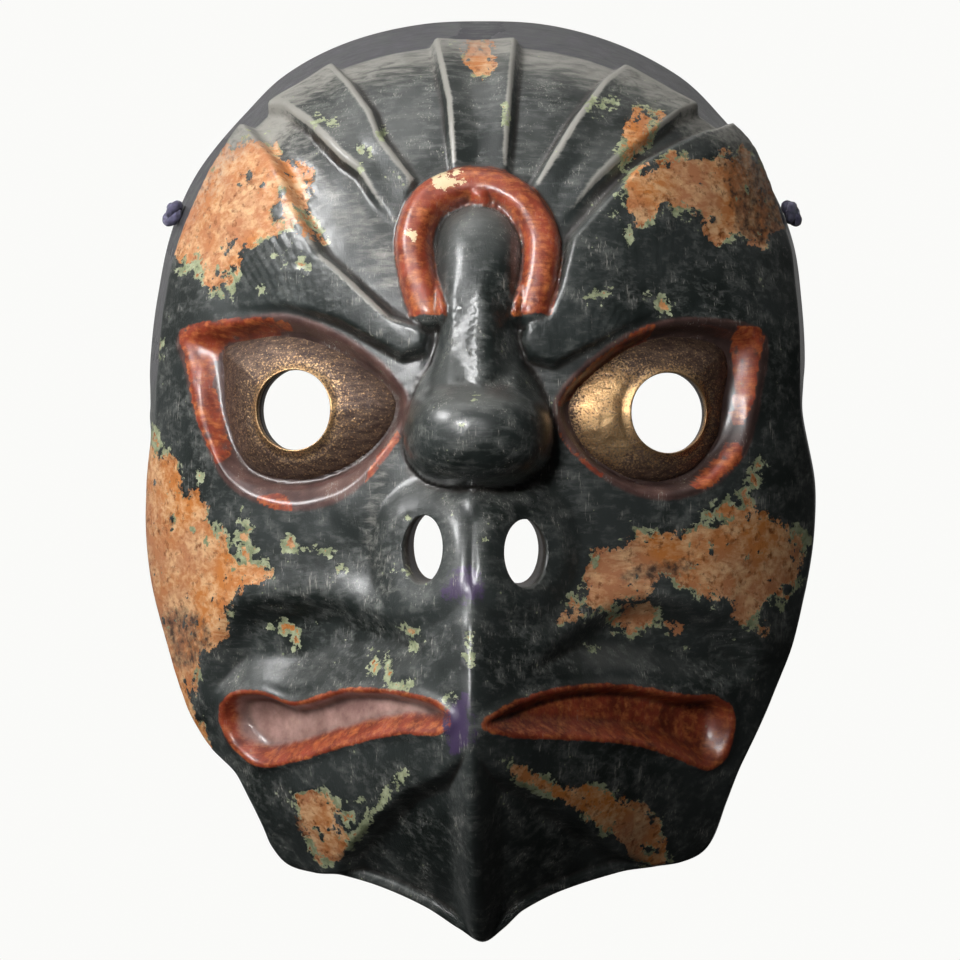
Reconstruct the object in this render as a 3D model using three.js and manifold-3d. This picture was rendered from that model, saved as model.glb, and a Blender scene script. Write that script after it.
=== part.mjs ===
// A carved and painted wooden demon mask with a beaked face, gilt metal eyes and a hanging cord.
// Millimetres. The mask stands upright: +X is the viewer's right, +Z is up and the face looks to -Y.
// The origin is the hang point: Y = 0 is the wall that the rear rim lies on, Z = 0 the top of the nail.
import * as THREE from "three";
import { mergeVertices } from "three/addons/utils/BufferGeometryUtils.js";
import Module from "manifold-3d";

// ---------------------------------------------------------------- driving dimensions
const MASK_WIDTH = 186; // cheek to cheek
const MASK_HEIGHT = 252; // crown of the rear rim to the tip of the beak
const MASK_DEPTH = 95; // rear rim to the crest of the beak
const WALL = 8; // thickness of the hollowed wood
const RIM_WIDTH = 7; // flat face of the rear rim
const PUPIL_DIAMETER = 21.6; // hole through the gilt eye
const PUPIL_WOOD_CLEARANCE = 0.4; // the hole in the wood is wider than the hole in the metal by this radius
const EYE_SKIN = 0.9; // gilt metal sheet
const SEAT_GAP = 0.3; // clearance between pieces that touch
const NOSTRIL_WIDTH = 10.8;
const NOSTRIL_HEIGHT = 17.5;
const CORD_DIAMETER = 3.8;
const CORD_HOLE_CLEARANCE = 0.35; // radial
const KNOT_DIAMETER = 8.6;
const KNOT_THICKNESS = 5.4;
const KNOT_FLAT = 0.8; // share of the knot's thickness left between its flattened ends

// The carving is laid out at this size and scaled to the mask's width, depth and height.
const LAYOUT = new THREE.Vector3(186, 95, 252);
const SCALE = new THREE.Vector3(MASK_WIDTH, MASK_DEPTH, MASK_HEIGHT).divide(LAYOUT);

// ---------------------------------------------------------------- small mathematics
const clamp = THREE.MathUtils.clamp;
const smooth = THREE.MathUtils.smoothstep; // smooth(value, low, high)

/** Larger of two heights, blended over the given width. */
function softMax(a, b, blend) {
  const mix = clamp(0.5 + (0.5 * (a - b)) / blend, 0, 1);
  return b + (a - b) * mix + blend * mix * (1 - mix);
}

/** Smooth function through [position, value] knots, ascending; periodic if a period is given. */
function profile(knots, period = 0) {
  const count = knots.length;
  const knot = (i) => {
    if (!period) return knots[clamp(i, 0, count - 1)];
    const turn = Math.floor(i / count);
    const [position, value] = knots[i - turn * count];
    return [position + turn * period, value];
  };
  const slope = (i) => {
    const [before, valueBefore] = knot(i - 1);
    const [after, valueAfter] = knot(i + 1);
    return (valueAfter - valueBefore) / (after - before);
  };
  return (wanted) => {
    const first = knots[0][0];
    const at = period
      ? first + THREE.MathUtils.euclideanModulo(wanted - first, period)
      : clamp(wanted, first, knots[count - 1][0]);
    let i = 0;
    while (i < count - (period ? 1 : 2) && knot(i + 1)[0] <= at) i += 1;
    const [low, valueLow] = knot(i);
    const [high, valueHigh] = knot(i + 1);
    const span = high - low;
    const t = (at - low) / span;
    return (
      valueLow * (1 + 2 * t) * (1 - t) ** 2 +
      valueHigh * (3 - 2 * t) * t ** 2 +
      span * (slope(i) * t * (1 - t) ** 2 - slope(i + 1) * t ** 2 * (1 - t))
    );
  };
}

/** Polyline through the given [x, z] points: smoothed, and closed if asked. */
function curveThrough(points, closed, steps) {
  const knots = points.map(([x, z]) => new THREE.Vector3(x, z, 0));
  const curve = new THREE.CatmullRomCurve3(knots, closed, "centripetal");
  return curve.getPoints(steps).map((p) => [p.x, p.y]);
}

/** Distance from (x, z) to a polyline. */
function distanceTo(line, x, z) {
  let best = Infinity;
  for (let i = 0; i + 1 < line.length; i += 1) {
    const [ax, az] = line[i];
    const [bx, bz] = line[i + 1];
    const length2 = (bx - ax) ** 2 + (bz - az) ** 2 || 1;
    const t = clamp(((x - ax) * (bx - ax) + (z - az) * (bz - az)) / length2, 0, 1);
    best = Math.min(best, Math.hypot(x - ax - t * (bx - ax), z - az - t * (bz - az)));
  }
  return best;
}

/** Distance from (x, z) to the edge of a closed outline, positive inside it. */
function depthInside(outline, x, z) {
  let inside = false;
  for (let i = 0; i + 1 < outline.length; i += 1) {
    const [ax, az] = outline[i];
    const [bx, bz] = outline[i + 1];
    if (az > z !== bz > z && x < ax + ((bx - ax) * (z - az)) / (bz - az)) inside = !inside;
  }
  return distanceTo(outline, x, z) * (inside ? 1 : -1);
}

/** Closed outline with sharp corners. */
const polygon = (points) => [...points, points[0]];
/** Closed outline with rounded corners. */
const blob = (points) => curveThrough(points, true, 8 * points.length);
/** Open, smoothed line. */
const stroke = (points) => curveThrough(points, false, 6 * points.length);

// ---------------------------------------------------------------- layout of the carving, [x, z]
const CENTRE = [0, -100]; // the rings of the face are drawn round this point

// The front edge of the face, anticlockwise from the right temple.
const FACE_EDGE = [
  [88, -89], [87.5, -72.5], [86.7, -56], [84.8, -40], [80.7, -28.6], [71.5, -15], [61, -7],
  [48.5, 1], [33, 8], [15, 12.6], [-1, 13.4], [-15, 12.8], [-37, 7.5], [-52, -0.5], [-62, -10],
  [-77, -27.5], [-83, -40], [-86.4, -56], [-88.3, -72.5], [-89.4, -89], [-92, -108],
  [-92.4, -117], [-91, -133], [-86.7, -149], [-80.6, -166], [-74.7, -177], [-66.8, -184.5],
  [-63.5, -190], [-59, -199], [-56.5, -205], [-52, -210], [-44, -211.7], [-37, -211.6],
  [-25.3, -214], [-13.4, -218.5], [-4, -224.2], [1.9, -227.5], [7.2, -224], [12.7, -219], [23.3, -214.2],
  [38, -210.6], [47.8, -209.8], [55, -209], [60.5, -206.8], [63.6, -203], [67.3, -193], [71.5, -182.4],
  [79.3, -166], [84, -154.5], [88.6, -138], [91.6, -118], [91.6, -107],
];
const FULL_TURN = 360;
const polar = ([x, z]) => [
  THREE.MathUtils.radToDeg(Math.atan2(z - CENTRE[1], x - CENTRE[0])),
  Math.hypot(x - CENTRE[0], z - CENTRE[1]),
];
const edgeRadius = profile(
  FACE_EDGE.map(polar).sort((a, b) => a[0] - b[0]),
  FULL_TURN,
);
// How far the rear rim stands outside the front edge, and in front of the wall, by direction in degrees.
const rimFlare = profile(
  [[-150, -4], [-120, -3], [-90, -1], [-60, -3], [-25, -4], [8, -1], [15, 2.6], [27, 3], [41, 2.6],
    [50, 4], [63, 9.5], [90, 10.5], [118, 10], [133, 8.5], [145, 6.5], [165, 5.8], [171, 4], [177, -1]],
  FULL_TURN,
);
const rimStep = profile(
  [[-160, 13], [-130, 17], [-112, 24], [-100, 38], [-90, 47], [-80, 38], [-68, 24], [-50, 17],
    [-20, 13], [8, 9], [12, 8], [14.5, 0], [17, 0], [90, 0], [168, 0], [170.5, 0], [173, 8], [178, 9]],
  FULL_TURN,
);

const rimHeight = (degrees) => Math.max(rimStep(degrees), 0);

// ---------------------------------------------------------------- large forms, heights over [x, z]
const DOME = { height: 68, halfWidth: 99, z: -95, up: 117, down: 142, squareness: 2.5 };
function domeHeight(x, z) {
  const reach = z > DOME.z ? DOME.up : DOME.down;
  const across = Math.abs(x / DOME.halfWidth) ** DOME.squareness;
  const along = Math.abs((z - DOME.z) / reach) ** DOME.squareness;
  const r = (across + along) ** (1 / DOME.squareness);
  return DOME.height * Math.sqrt(Math.max(1 - r ** 2, 0.02));
}

const KEEL = { slope: 0.85, edge: 2.2, blend: 7 };
const keelCrest = profile([
  [-232, 58], [-222, 69], [-210, 80], [-190, 91], [-170, 95], [-150, 92], [-125, 85], [-108, 79], [-94, 67],
  [-80, 40], [-60, 0],
]);
/** The beak: a prow whose crest runs from under the nose to the tip. */
function beakHeight(x, z) {
  const drift = 1.5 * smooth(-z, 190, 228);
  return keelCrest(z) - KEEL.slope * (Math.hypot(x - drift, KEEL.edge) - KEEL.edge);
}

/** Smooth form of the face without its details; the hollow follows it. */
function baseHeight(x, z) {
  return softMax(domeHeight(x, z), beakHeight(x, z), KEEL.blend);
}

const noseCrest = profile([
  [-110, 80], [-97, 88], [-80, 84], [-66, 78], [-52, 72], [-38, 66], [-31, 59], [-27, 50],
]);
const noseHalfWidth = profile([
  [-110, 13], [-97, 15], [-80, 12.5], [-66, 9.6], [-52, 9.8], [-40, 10.4], [-33, 8.5], [-28, 3],
]);
const NOSE_X = 1;
const BULB = { z: -93.5, halfWidth: 19.6, halfHeight: 14.6, foot: 69, rise: 23.5 };
/** The long nose with its hooked bulb, or zero beside it. */
function noseHeight(x, z) {
  const across = Math.abs(x - NOSE_X) / noseHalfWidth(z);
  const under = domeHeight(x, z) - 4;
  let height = 0;
  if (z > BULB.z && z < -27 && across < 1) {
    height = under + (noseCrest(z) - under) * (1 - across ** 2.4) ** 0.6;
  }
  const r2 = ((x - NOSE_X) / BULB.halfWidth) ** 2 + ((z - BULB.z) / BULB.halfHeight) ** 2;
  if (r2 < 1) height = softMax(height, BULB.foot + BULB.rise * (1 - r2) ** 0.45, 3);
  return height;
}

// ---------------------------------------------------------------- fine carving, lifts along the surface normal
const PLATE_LIFT = 3.6;
const PLATE_BEVEL = 2;
// The middle plate and the two feather plates of the forehead; their outer ends run past the face's edge.
const PLATES = [
  polygon([[-16, 30], [13, 30], [11.4, 14], [9.8, -18.5], [-8.2, -18.5], [-9.5, -4.4], [-14, 14]]),
  polygon([
    [-54, 36], [-40, 9], [-33.7, 2.5], [-27.3, -6.2], [-24.2, -13.8], [-18.5, -20.5],
    [-23.5, -37.5], [-26.6, -33.1], [-32.2, -24.5], [-37.1, -20.7], [-45.4, -12], [-53, -6.3], [-62, -5],
    [-84, 10],
  ]),
  polygon([
    [50, 34], [39, 8], [32.7, 2.8], [24.6, -9.1], [16, -25], [23, -40], [32.8, -27.3], [43.6, -17.2],
    [54.6, -8.2], [61.6, -5], [82, 8],
  ]),
];

const BROW_LIFT = 5;
const BROW_ROLL = 15; // the brow rolls away from its crest over this distance
const BROWS = [
  {
    crest: stroke([[-74, 2], [-60, -10.6], [-51.8, -20.8], [-44.1, -36.6], [-34.1, -49.7], [-21.2, -61.8],
      [-13.6, -64.2]]),
    body: polygon([
      [-74, 2], [-60, -10.6], [-51.8, -20.8], [-44.1, -36.6], [-39.7, -44.9], [-34.1, -49.7],
      [-21.2, -61.8], [-13.6, -64.2], [-11.3, -67.5], [-12.5, -72], [-18.9, -74], [-36.5, -64.1],
      [-50, -60], [-66, -60], [-84, -63], [-100, -50], [-100, 0],
    ]),
  },
  {
    crest: stroke([[80, 2], [64.3, -9.8], [57.4, -12.3], [43.6, -20], [32.8, -31.4], [24.3, -41.3],
      [21.1, -54.8], [13, -64.2]]),
    body: polygon([
      [80, 2], [64.3, -9.8], [57.4, -12.3], [43.6, -20], [32.8, -31.4], [24.3, -41.3], [21.1, -54.8],
      [18.3, -61.6], [13, -64.2], [11.4, -69], [13.5, -74], [21, -76], [33, -69.5], [46, -62.5],
      [60, -60.5], [82, -63], [100, -50], [100, 0],
    ]),
  },
];

const RING = { halfWidth: 5, lift: 5.4 };
const RING_LINE = stroke([
  [-12.6, -61], [-16.9, -49.5], [-17.6, -37.4], [-12.1, -26.6], [-0.7, -22.3], [10.1, -26.2],
  [16.8, -36.1], [17.7, -47.4], [15, -61],
]);

// Outer lid line and gilt part of each eye.
const EYES = [
  {
    side: "left",
    pupil: [-48.8, -86.7],
    lid: blob([
      [-81.2, -65.8], [-64.5, -62.3], [-50.3, -61.6], [-36.5, -66.5], [-22.9, -76.5], [-17.2, -86],
      [-24.4, -99.5], [-35.3, -109.9], [-50.3, -112.9], [-66, -106.8], [-74.8, -91.8], [-79.2, -76],
    ]),
    gilt: blob([
      [-72, -69.5], [-62, -66.6], [-50.5, -66.2], [-35.8, -71.8], [-21.7, -84.6], [-28.8, -97.4],
      [-47.8, -105.6], [-64.7, -102], [-70.8, -89.1], [-72.2, -77],
    ]),
  },
  {
    side: "right",
    pupil: [51.6, -87.5],
    lid: blob([
      [77, -66.3], [59.8, -62.6], [46.2, -64.5], [32.9, -72], [22, -83.5], [21.4, -89], [26.2, -97.6],
      [38.2, -106.9], [50.2, -110.2], [62.5, -107], [71.3, -98.6], [75.6, -83.6],
    ]),
    gilt: blob([
      [69.5, -70], [57.1, -66.4], [46.2, -68], [32.9, -76.1], [25.2, -85.4], [30.2, -97.2],
      [43.5, -105.2], [57.1, -104.7], [66.5, -95.9], [69.3, -83.6],
    ]),
  },
];
const SOCKET_DEPTH = 5.2;
const EYE_BULGE = 6;

const NOSTRIL_WING = { x: 13.5, z: -124, halfWidth: 15, halfHeight: 20, lift: 2.6 };
const NOSTRILS = [
  { x: -13.2, z: -123.4 },
  { x: 12.6, z: -124.4 },
];

const FOLD_HOLLOW = 5;
const FOLD_REACH = 9;
const FOLD_ROLL = 2.2;
const FOLDS = [
  {
    crest: stroke([[-17, -140.5], [-25.3, -138.7], [-39.3, -135.3], [-53.3, -135.5], [-64.7, -137.9],
      [-70.3, -145], [-73.2, -154.4], [-73, -164]]),
    hollow: blob([
      [-15.7, -141], [-25.3, -138.7], [-39.3, -135.3], [-53.3, -135.5], [-64.7, -137.9], [-70, -144.8],
      [-72.9, -154.4], [-72, -164], [-60, -161], [-48.6, -161.5], [-34.6, -158], [-19.4, -157], [-11, -152],
    ]),
  },
  {
    crest: stroke([[19, -149], [27.6, -141.1], [38.2, -136.1], [48.9, -135], [59.8, -137.9], [69.4, -142.1],
      [76.6, -150]]),
    hollow: blob([
      [17, -150], [27.6, -141.1], [38.2, -136.1], [48.9, -135], [59.8, -137.9], [69.4, -142.1],
      [76.4, -150], [76, -159], [66, -162], [54, -160.5], [38, -157], [22, -157.5], [14, -156],
    ]),
  },
];

const LIP_DEPTH = 4;
const LIPS = [
  {
    groove: blob([
      [-5, -167.2], [-8.5, -163.4], [-19.4, -160.8], [-34.6, -161], [-48.6, -165], [-58, -162.6],
      [-66, -163.4], [-69, -168.4], [-67.5, -175], [-59.6, -181.9], [-50.3, -180.5], [-36.1, -175.7],
      [-19.4, -171], [-8.5, -170.2],
    ]),
    pit: [-58, -171.5],
  },
  {
    groove: blob([
      [3.3, -168.3], [9.6, -164], [22.4, -160.2], [38.2, -159.9], [54.3, -163.1], [65, -164.6],
      [68.4, -168.5], [66, -180], [62, -182.8], [57.1, -180.9], [43.5, -175.3], [22.4, -172.3], [9.6, -171],
    ]),
    pit: [59.5, -171],
  },
];
const PIT = { halfWidth: 9.5, halfHeight: 8.5, depth: 2.4 };

const SCOOP_DEPTH = 5;
const SCOOP_REACH = 7;
const SCOOPS = [
  polygon([
    [-0.5, -173.8], [-8.7, -180.9], [-18.4, -185.6], [-26, -193], [-32.7, -200.6], [-38, -207], [-38, -222],
    [0.6, -240],
  ]),
  polygon([
    [1, -174.5], [7, -180.1], [17.2, -185.3], [27.5, -194.6], [38.2, -203.8], [48, -208.8], [48, -222],
    [2.4, -240],
  ]),
];

function plateLift(x, z) {
  const depth = Math.max(...PLATES.map((plate) => depthInside(plate, x, z)));
  return PLATE_LIFT * smooth(depth, -0.3, PLATE_BEVEL) * smooth(z + 0.35 * Math.abs(x), -34, -4);
}

function browLift(x, z) {
  const { crest, body } = BROWS[x < 0 ? 0 : 1];
  const roll = Math.exp(-((distanceTo(crest, x, z) / BROW_ROLL) ** 2));
  return BROW_LIFT * smooth(depthInside(body, x, z), -0.3, PLATE_BEVEL) * (0.3 + 0.7 * roll);
}

function ringLift(x, z) {
  const across = distanceTo(RING_LINE, x, z) / RING.halfWidth;
  return across < 1 ? RING.lift * (1 - across ** 2.6) ** 0.6 : 0;
}

/** Lift of the gilt surface inside the lids, and of the bevelled lids round it. */
function eyeLift(eye, x, z) {
  const inLid = depthInside(eye.lid, x, z);
  if (inLid <= 0) return 0;
  const inGilt = depthInside(eye.gilt, x, z);
  const socket = -SOCKET_DEPTH * smooth(inLid / (inLid + Math.max(-inGilt, 0)), 0.1, 1);
  return socket + EYE_BULGE * (1 - Math.exp(-Math.max(inGilt, 0) / 8));
}

function lipLift(x, z) {
  const { groove, pit } = LIPS[x < 0 ? 0 : 1];
  const depth = depthInside(groove, x, z);
  const r2 = ((x - pit[0]) / PIT.halfWidth) ** 2 + ((z - pit[1]) / PIT.halfHeight) ** 2;
  return -LIP_DEPTH * smooth(depth, -0.2, 4) - PIT.depth * Math.max(1 - r2, 0) + Math.exp(-((depth / 2) ** 2));
}

function foldLift(x, z) {
  const { crest, hollow } = FOLDS[x < 0 ? 0 : 1];
  const roll = Math.exp(-((distanceTo(crest, x, z) / 6) ** 2));
  return FOLD_ROLL * roll - FOLD_HOLLOW * smooth(depthInside(hollow, x, z), 0, FOLD_REACH);
}

function wingLift(x, z) {
  const { halfWidth, halfHeight, lift } = NOSTRIL_WING;
  const r2 = ((Math.abs(x) - NOSTRIL_WING.x) / halfWidth) ** 2 + ((z - NOSTRIL_WING.z) / halfHeight) ** 2;
  return lift * smooth(1 - r2, 0, 0.7);
}

function scoopLift(x, z) {
  const depth = Math.max(...SCOOPS.map((scoop) => depthInside(scoop, x, z)));
  return -SCOOP_DEPTH * smooth(depth, -0.3, SCOOP_REACH);
}

/** All fine carving at a point of the face. */
function carving(x, z) {
  const eye = EYES[x < 0 ? 0 : 1];
  const isEye = depthInside(eye.lid, x, z) > 0;
  const forehead = Math.max(plateLift(x, z), browLift(x, z));
  const upper = Math.max(forehead, ringLift(x, z));
  const lower = lipLift(x, z) + foldLift(x, z) + wingLift(x, z) + scoopLift(x, z);
  return (isEye ? eyeLift(eye, x, z) : upper) + lower;
}

// ---------------------------------------------------------------- points of the mask's surfaces
/** Outward unit normal of the plain dome. */
function domeNormal(x, z) {
  const step = 0.5;
  const slopeX = (domeHeight(x + step, z) - domeHeight(x - step, z)) / (2 * step);
  const slopeZ = (domeHeight(x, z + step) - domeHeight(x, z - step)) / (2 * step);
  return new THREE.Vector3(-slopeX, -1, -slopeZ).normalize();
}

/** Point of the carved face over [x, z], lifted off it by so many millimetres. */
function facePoint(x, z, lift = 0, detail = 1) {
  const height = Math.max(baseHeight(x, z), noseHeight(x, z));
  const normal = domeNormal(x, z);
  return new THREE.Vector3(x, -height, z)
    .addScaledVector(normal, detail * carving(x, z))
    .multiply(SCALE)
    .addScaledVector(normal, lift);
}

/** Point at a share of the way from the centre to the face's edge. */
function onFace(degrees, share, inset = 0) {
  const radius = (edgeRadius(degrees) - inset) * share;
  const angle = THREE.MathUtils.degToRad(degrees);
  return [CENTRE[0] + radius * Math.cos(angle), CENTRE[1] + radius * Math.sin(angle)];
}

/** Point of the rear rim, so far inside its outer edge. */
function rimPoint(degrees, inset = 0) {
  const [x, z] = onFace(degrees, 1, inset - rimFlare(degrees));
  return new THREE.Vector3(x, -rimHeight(degrees), z).multiply(SCALE);
}

/** Point of the outer side wall, from the face's edge (0) to the rim (1). */
function sidePoint(degrees, way) {
  const [x, z] = onFace(degrees, 1);
  const bulge = 1.6 * (1 - smooth(z, -95, -70)) * 4 * way * (1 - way);
  const [outX, outZ] = onFace(degrees, 1, -bulge);
  const raised = facePoint(x, z).sub(facePoint(x, z, 0, 0)).multiplyScalar(1 - smooth(way, 0, 0.2));
  return facePoint(x, z, 0, 0)
    .lerp(rimPoint(degrees), way)
    .add(raised)
    .add(new THREE.Vector3(outX - x, 0, outZ - z));
}

/** Outward unit normal of the side wall. */
function wallNormal(degrees, way) {
  const along = sidePoint(degrees + 1, way).sub(sidePoint(degrees - 1, way));
  const back = sidePoint(degrees, way + 0.05).sub(sidePoint(degrees, way - 0.05));
  return back.cross(along).normalize();
}

/** Point of the hollow behind the face. */
function hollowPoint(x, z) {
  const step = 1;
  const slope = Math.hypot(
    (baseHeight(x + step, z) - baseHeight(x - step, z)) / (2 * step),
    (baseHeight(x, z + step) - baseHeight(x, z - step)) / (2 * step),
  );
  const height = baseHeight(x, z) - WALL * Math.hypot(1, Math.min(slope, 1.3));
  return new THREE.Vector3(x, -height, z).multiply(SCALE);
}

// ---------------------------------------------------------------- building solids
/** Directions that divide the face's edge into equal lengths. */
function evenDirections(count) {
  const fine = 1440;
  const lengths = [0];
  for (let i = 1; i <= fine; i += 1) {
    const [ax, az] = onFace(((i - 1) * FULL_TURN) / fine, 1);
    const [bx, bz] = onFace((i * FULL_TURN) / fine, 1);
    lengths.push(lengths[i - 1] + Math.hypot(bx - ax, bz - az));
  }
  const directions = [];
  let i = 0;
  for (let k = 0; k < count; k += 1) {
    const wanted = (k / count) * lengths[fine];
    while (lengths[i + 1] <= wanted) i += 1;
    const part = (wanted - lengths[i]) / (lengths[i + 1] - lengths[i]);
    directions.push(((i + part) * FULL_TURN) / fine);
  }
  return directions;
}

/** Closed surface over successive rings of points; the first and the last ring are one point each. */
function skinOver(rings) {
  const starts = [];
  const positions = [];
  for (const ring of rings) {
    starts.push(positions.length / 3);
    ring.forEach((p) => positions.push(p.x, p.y, p.z));
  }
  const index = [];
  for (let r = 0; r + 1 < rings.length; r += 1) {
    const sizeA = rings[r].length;
    const sizeB = rings[r + 1].length;
    const stepsA = sizeA > 1 ? sizeA : 0;
    const stepsB = sizeB > 1 ? sizeB : 0;
    let a = 0;
    let b = 0;
    while (a < stepsA || b < stepsB) {
      const cornerA = starts[r] + (a % sizeA);
      const cornerB = starts[r + 1] + (b % sizeB);
      if (b < stepsB && (a >= stepsA || (b + 1) * stepsA <= (a + 1) * stepsB)) {
        b += 1;
        index.push(cornerA, cornerB, starts[r + 1] + (b % sizeB));
      } else {
        a += 1;
        index.push(cornerA, cornerB, starts[r] + (a % sizeA));
      }
    }
  }
  const geometry = new THREE.BufferGeometry();
  geometry.setAttribute("position", new THREE.Float32BufferAttribute(positions, 3));
  geometry.setIndex(index);
  return geometry;
}

const wasm = await Module();
wasm.setup();

/** A closed geometry as a manifold-3d solid. */
function solid(geometry) {
  const bare = geometry.clone();
  bare.deleteAttribute("normal");
  bare.deleteAttribute("uv");
  const merged = mergeVertices(bare, 1e-4);
  return new wasm.Manifold(
    new wasm.Mesh({
      numProp: 3,
      vertProperties: new Float32Array(merged.attributes.position.array),
      triVerts: new Uint32Array(merged.index.array),
    }),
  );
}

/** A manifold-3d solid as a geometry. */
function geometryOf(body) {
  const mesh = body.getMesh();
  const geometry = new THREE.BufferGeometry();
  geometry.setAttribute("position", new THREE.BufferAttribute(mesh.vertProperties, 3));
  geometry.setIndex(new THREE.BufferAttribute(mesh.triVerts, 1));
  geometry.computeVertexNormals();
  return geometry;
}

/** Round cutter through a point along a direction, squeezed across if asked. */
function drill(point, direction, radius, length, stretch = 1, segments = 32) {
  const turn = new THREE.Quaternion().setFromUnitVectors(new THREE.Vector3(0, 1, 0), direction);
  return solid(
    new THREE.CylinderGeometry(radius, radius, length, segments)
      .scale(1, 1, stretch)
      .applyQuaternion(turn)
      .translate(point.x, point.y, point.z),
  );
}

// ---------------------------------------------------------------- the carved shell
const FACE_RINGS = 27;
const SIDE_RINGS = 5;
const HOLLOW_RINGS = [1, 0.92, 0.82, 0.7, 0.56, 0.4, 0.2];

function blankGeometry() {
  const edgeCount = 6 * FACE_RINGS;
  const around = (count, point) => evenDirections(count).map(point);
  const rings = [[facePoint(...CENTRE)]];
  for (let k = 1; k <= FACE_RINGS; k += 1) {
    rings.push(around(6 * k, (d) => facePoint(...onFace(d, k / FACE_RINGS))));
  }
  for (let k = 1; k <= SIDE_RINGS; k += 1) {
    rings.push(around(edgeCount, (d) => sidePoint(d, (k / SIDE_RINGS) ** 1.5)));
  }
  const innerEdge = (d) => hollowPoint(...onFace(d, 1, WALL));
  for (const way of [0, 0.5]) {
    const count = Math.round(edgeCount * (1 - 0.4 * way));
    rings.push(around(count, (d) => rimPoint(d, RIM_WIDTH).lerp(innerEdge(d), way)));
  }
  for (const share of HOLLOW_RINGS) {
    const count = Math.max(12, Math.round(edgeCount * 0.6 * share));
    rings.push(around(count, (d) => hollowPoint(...onFace(d, share, WALL))));
  }
  rings.push([hollowPoint(...CENTRE)]);
  return skinOver(rings);
}

// ---------------------------------------------------------------- gilt eyes
const EYE_RINGS = 8;
const EYE_POINTS = 48;

/** Solid between two lifts off the gilt surface, inside the gilt outline grown by a margin. */
function eyeGeometry(eye, liftOut, liftIn, margin) {
  const [px, pz] = eye.pupil;
  const outline = (k) => eye.gilt[Math.round((k / EYE_POINTS) * (eye.gilt.length - 1))];
  const clockwise = eye.gilt.slice(1).reduce((sum, [x, z], i) => {
    const [ox, oz] = eye.gilt[i];
    return sum + (ox - px) * (z - pz) - (x - px) * (oz - pz);
  }, 0) < 0;
  const ring = (share, count, lift) =>
    Array.from({ length: count }, (_, i) => {
      const k = (clockwise ? count - i : i) * (EYE_POINTS / count);
      const [x, z] = outline(k);
      const reach = (Math.hypot(x - px, z - pz) + margin) / Math.hypot(x - px, z - pz);
      return facePoint(px + (x - px) * share * reach, pz + (z - pz) * share * reach, lift);
    });
  const rings = [[facePoint(px, pz, liftOut)]];
  for (let k = 1; k <= EYE_RINGS; k += 1) rings.push(ring(k / EYE_RINGS, EYE_POINTS, liftOut));
  for (let k = EYE_RINGS; k >= 1; k -= 1) rings.push(ring(k / EYE_RINGS, EYE_POINTS, liftIn));
  rings.push([facePoint(px, pz, liftIn)]);
  return skinOver(rings);
}

/** The pupil's axis leans to the middle as it goes back. */
const PUPIL_LEAN = 0.2;
function pupilHole(eye, radius) {
  const lean = eye.pupil[0] < 0 ? PUPIL_LEAN : -PUPIL_LEAN;
  const axis = new THREE.Vector3(lean, 1, 0).normalize();
  return drill(facePoint(...eye.pupil), axis, radius, 90);
}

const NOSTRIL_LEAN = 0.35;
function nostrilHole({ x, z }) {
  const axis = new THREE.Vector3(x < 0 ? NOSTRIL_LEAN : -NOSTRIL_LEAN, 1, 0.1).normalize();
  return drill(facePoint(x, z), axis, NOSTRIL_WIDTH / 2, 90, NOSTRIL_HEIGHT / NOSTRIL_WIDTH, 24);
}

// ---------------------------------------------------------------- hanging cord and its knots
const CORD_RADIUS = CORD_DIAMETER / 2;
// Direction from the face's centre in which the cord leaves the side wall, and how far back in the wall.
const SIDES = [
  { name: "left", sign: -1, degrees: 141 },
  { name: "right", sign: 1, degrees: 39 },
];
const CORD_EXIT_WAY = 0.58;

// Right half of the cord's centreline, from inside its hole to the top of the nail.
const CORD_HALF = [
  [82.1, -10.8, -31], [73, -9.9, -27.3], [55, -8.1, -19.9], [38, -6.4, -12.9], [22, -4.8, -6.3],
  [10, -3.6, -1.4], [5, -3, 0.65], [2.5, -2.7, 1.57],
];
const CORD_TOP = [0, -2.6, 1.9];
const CORD_STEPS = 56;

/** Point of the cord on one side of the mask. */
function cordPoint([x, y, z], sign = 1) {
  return new THREE.Vector3(sign * x, y, z).multiply(SCALE);
}

/** Direction in which the cord goes in through the side wall. */
function cordDirection(sign) {
  return cordPoint(CORD_HALF[1], sign).sub(cordPoint(CORD_HALF[0], sign)).normalize();
}

function cordHole(sign) {
  const radius = CORD_RADIUS + CORD_HOLE_CLEARANCE;
  return drill(cordPoint(CORD_HALF[0], sign), cordDirection(sign), radius, 40, 1, 16);
}

function cordGeometry() {
  const left = CORD_HALF.map((point) => cordPoint(point, -1));
  const right = CORD_HALF.map((point) => cordPoint(point, 1)).reverse();
  const route = new THREE.CatmullRomCurve3([...left, cordPoint(CORD_TOP), ...right], false, "centripetal");
  const section = new THREE.Shape();
  const sides = 8;
  for (let i = 0; i <= sides; i += 1) {
    const angle = (i / sides) * 2 * Math.PI;
    const corner = [CORD_RADIUS * Math.cos(angle), CORD_RADIUS * Math.sin(angle)];
    if (i === 0) section.moveTo(...corner);
    else section.lineTo(...corner);
  }
  return new THREE.ExtrudeGeometry(section, { steps: CORD_STEPS, extrudePath: route });
}

/** Stopper knot outside the side wall: a flattened ball across the cord's end. */
function knotGeometry() {
  const half = KNOT_THICKNESS / 2;
  const flat = KNOT_FLAT * half;
  const radiusAt = (x) => (KNOT_DIAMETER / 2) * Math.sqrt(1 - (x / half) ** 2);
  const steps = 8;
  const outline = [new THREE.Vector2(0, -flat)];
  for (let i = 0; i <= steps; i += 1) {
    const x = flat * ((2 * i) / steps - 1);
    outline.push(new THREE.Vector2(radiusAt(x), x));
  }
  outline.push(new THREE.Vector2(0, flat));
  return new THREE.LatheGeometry(outline, 20);
}

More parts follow.
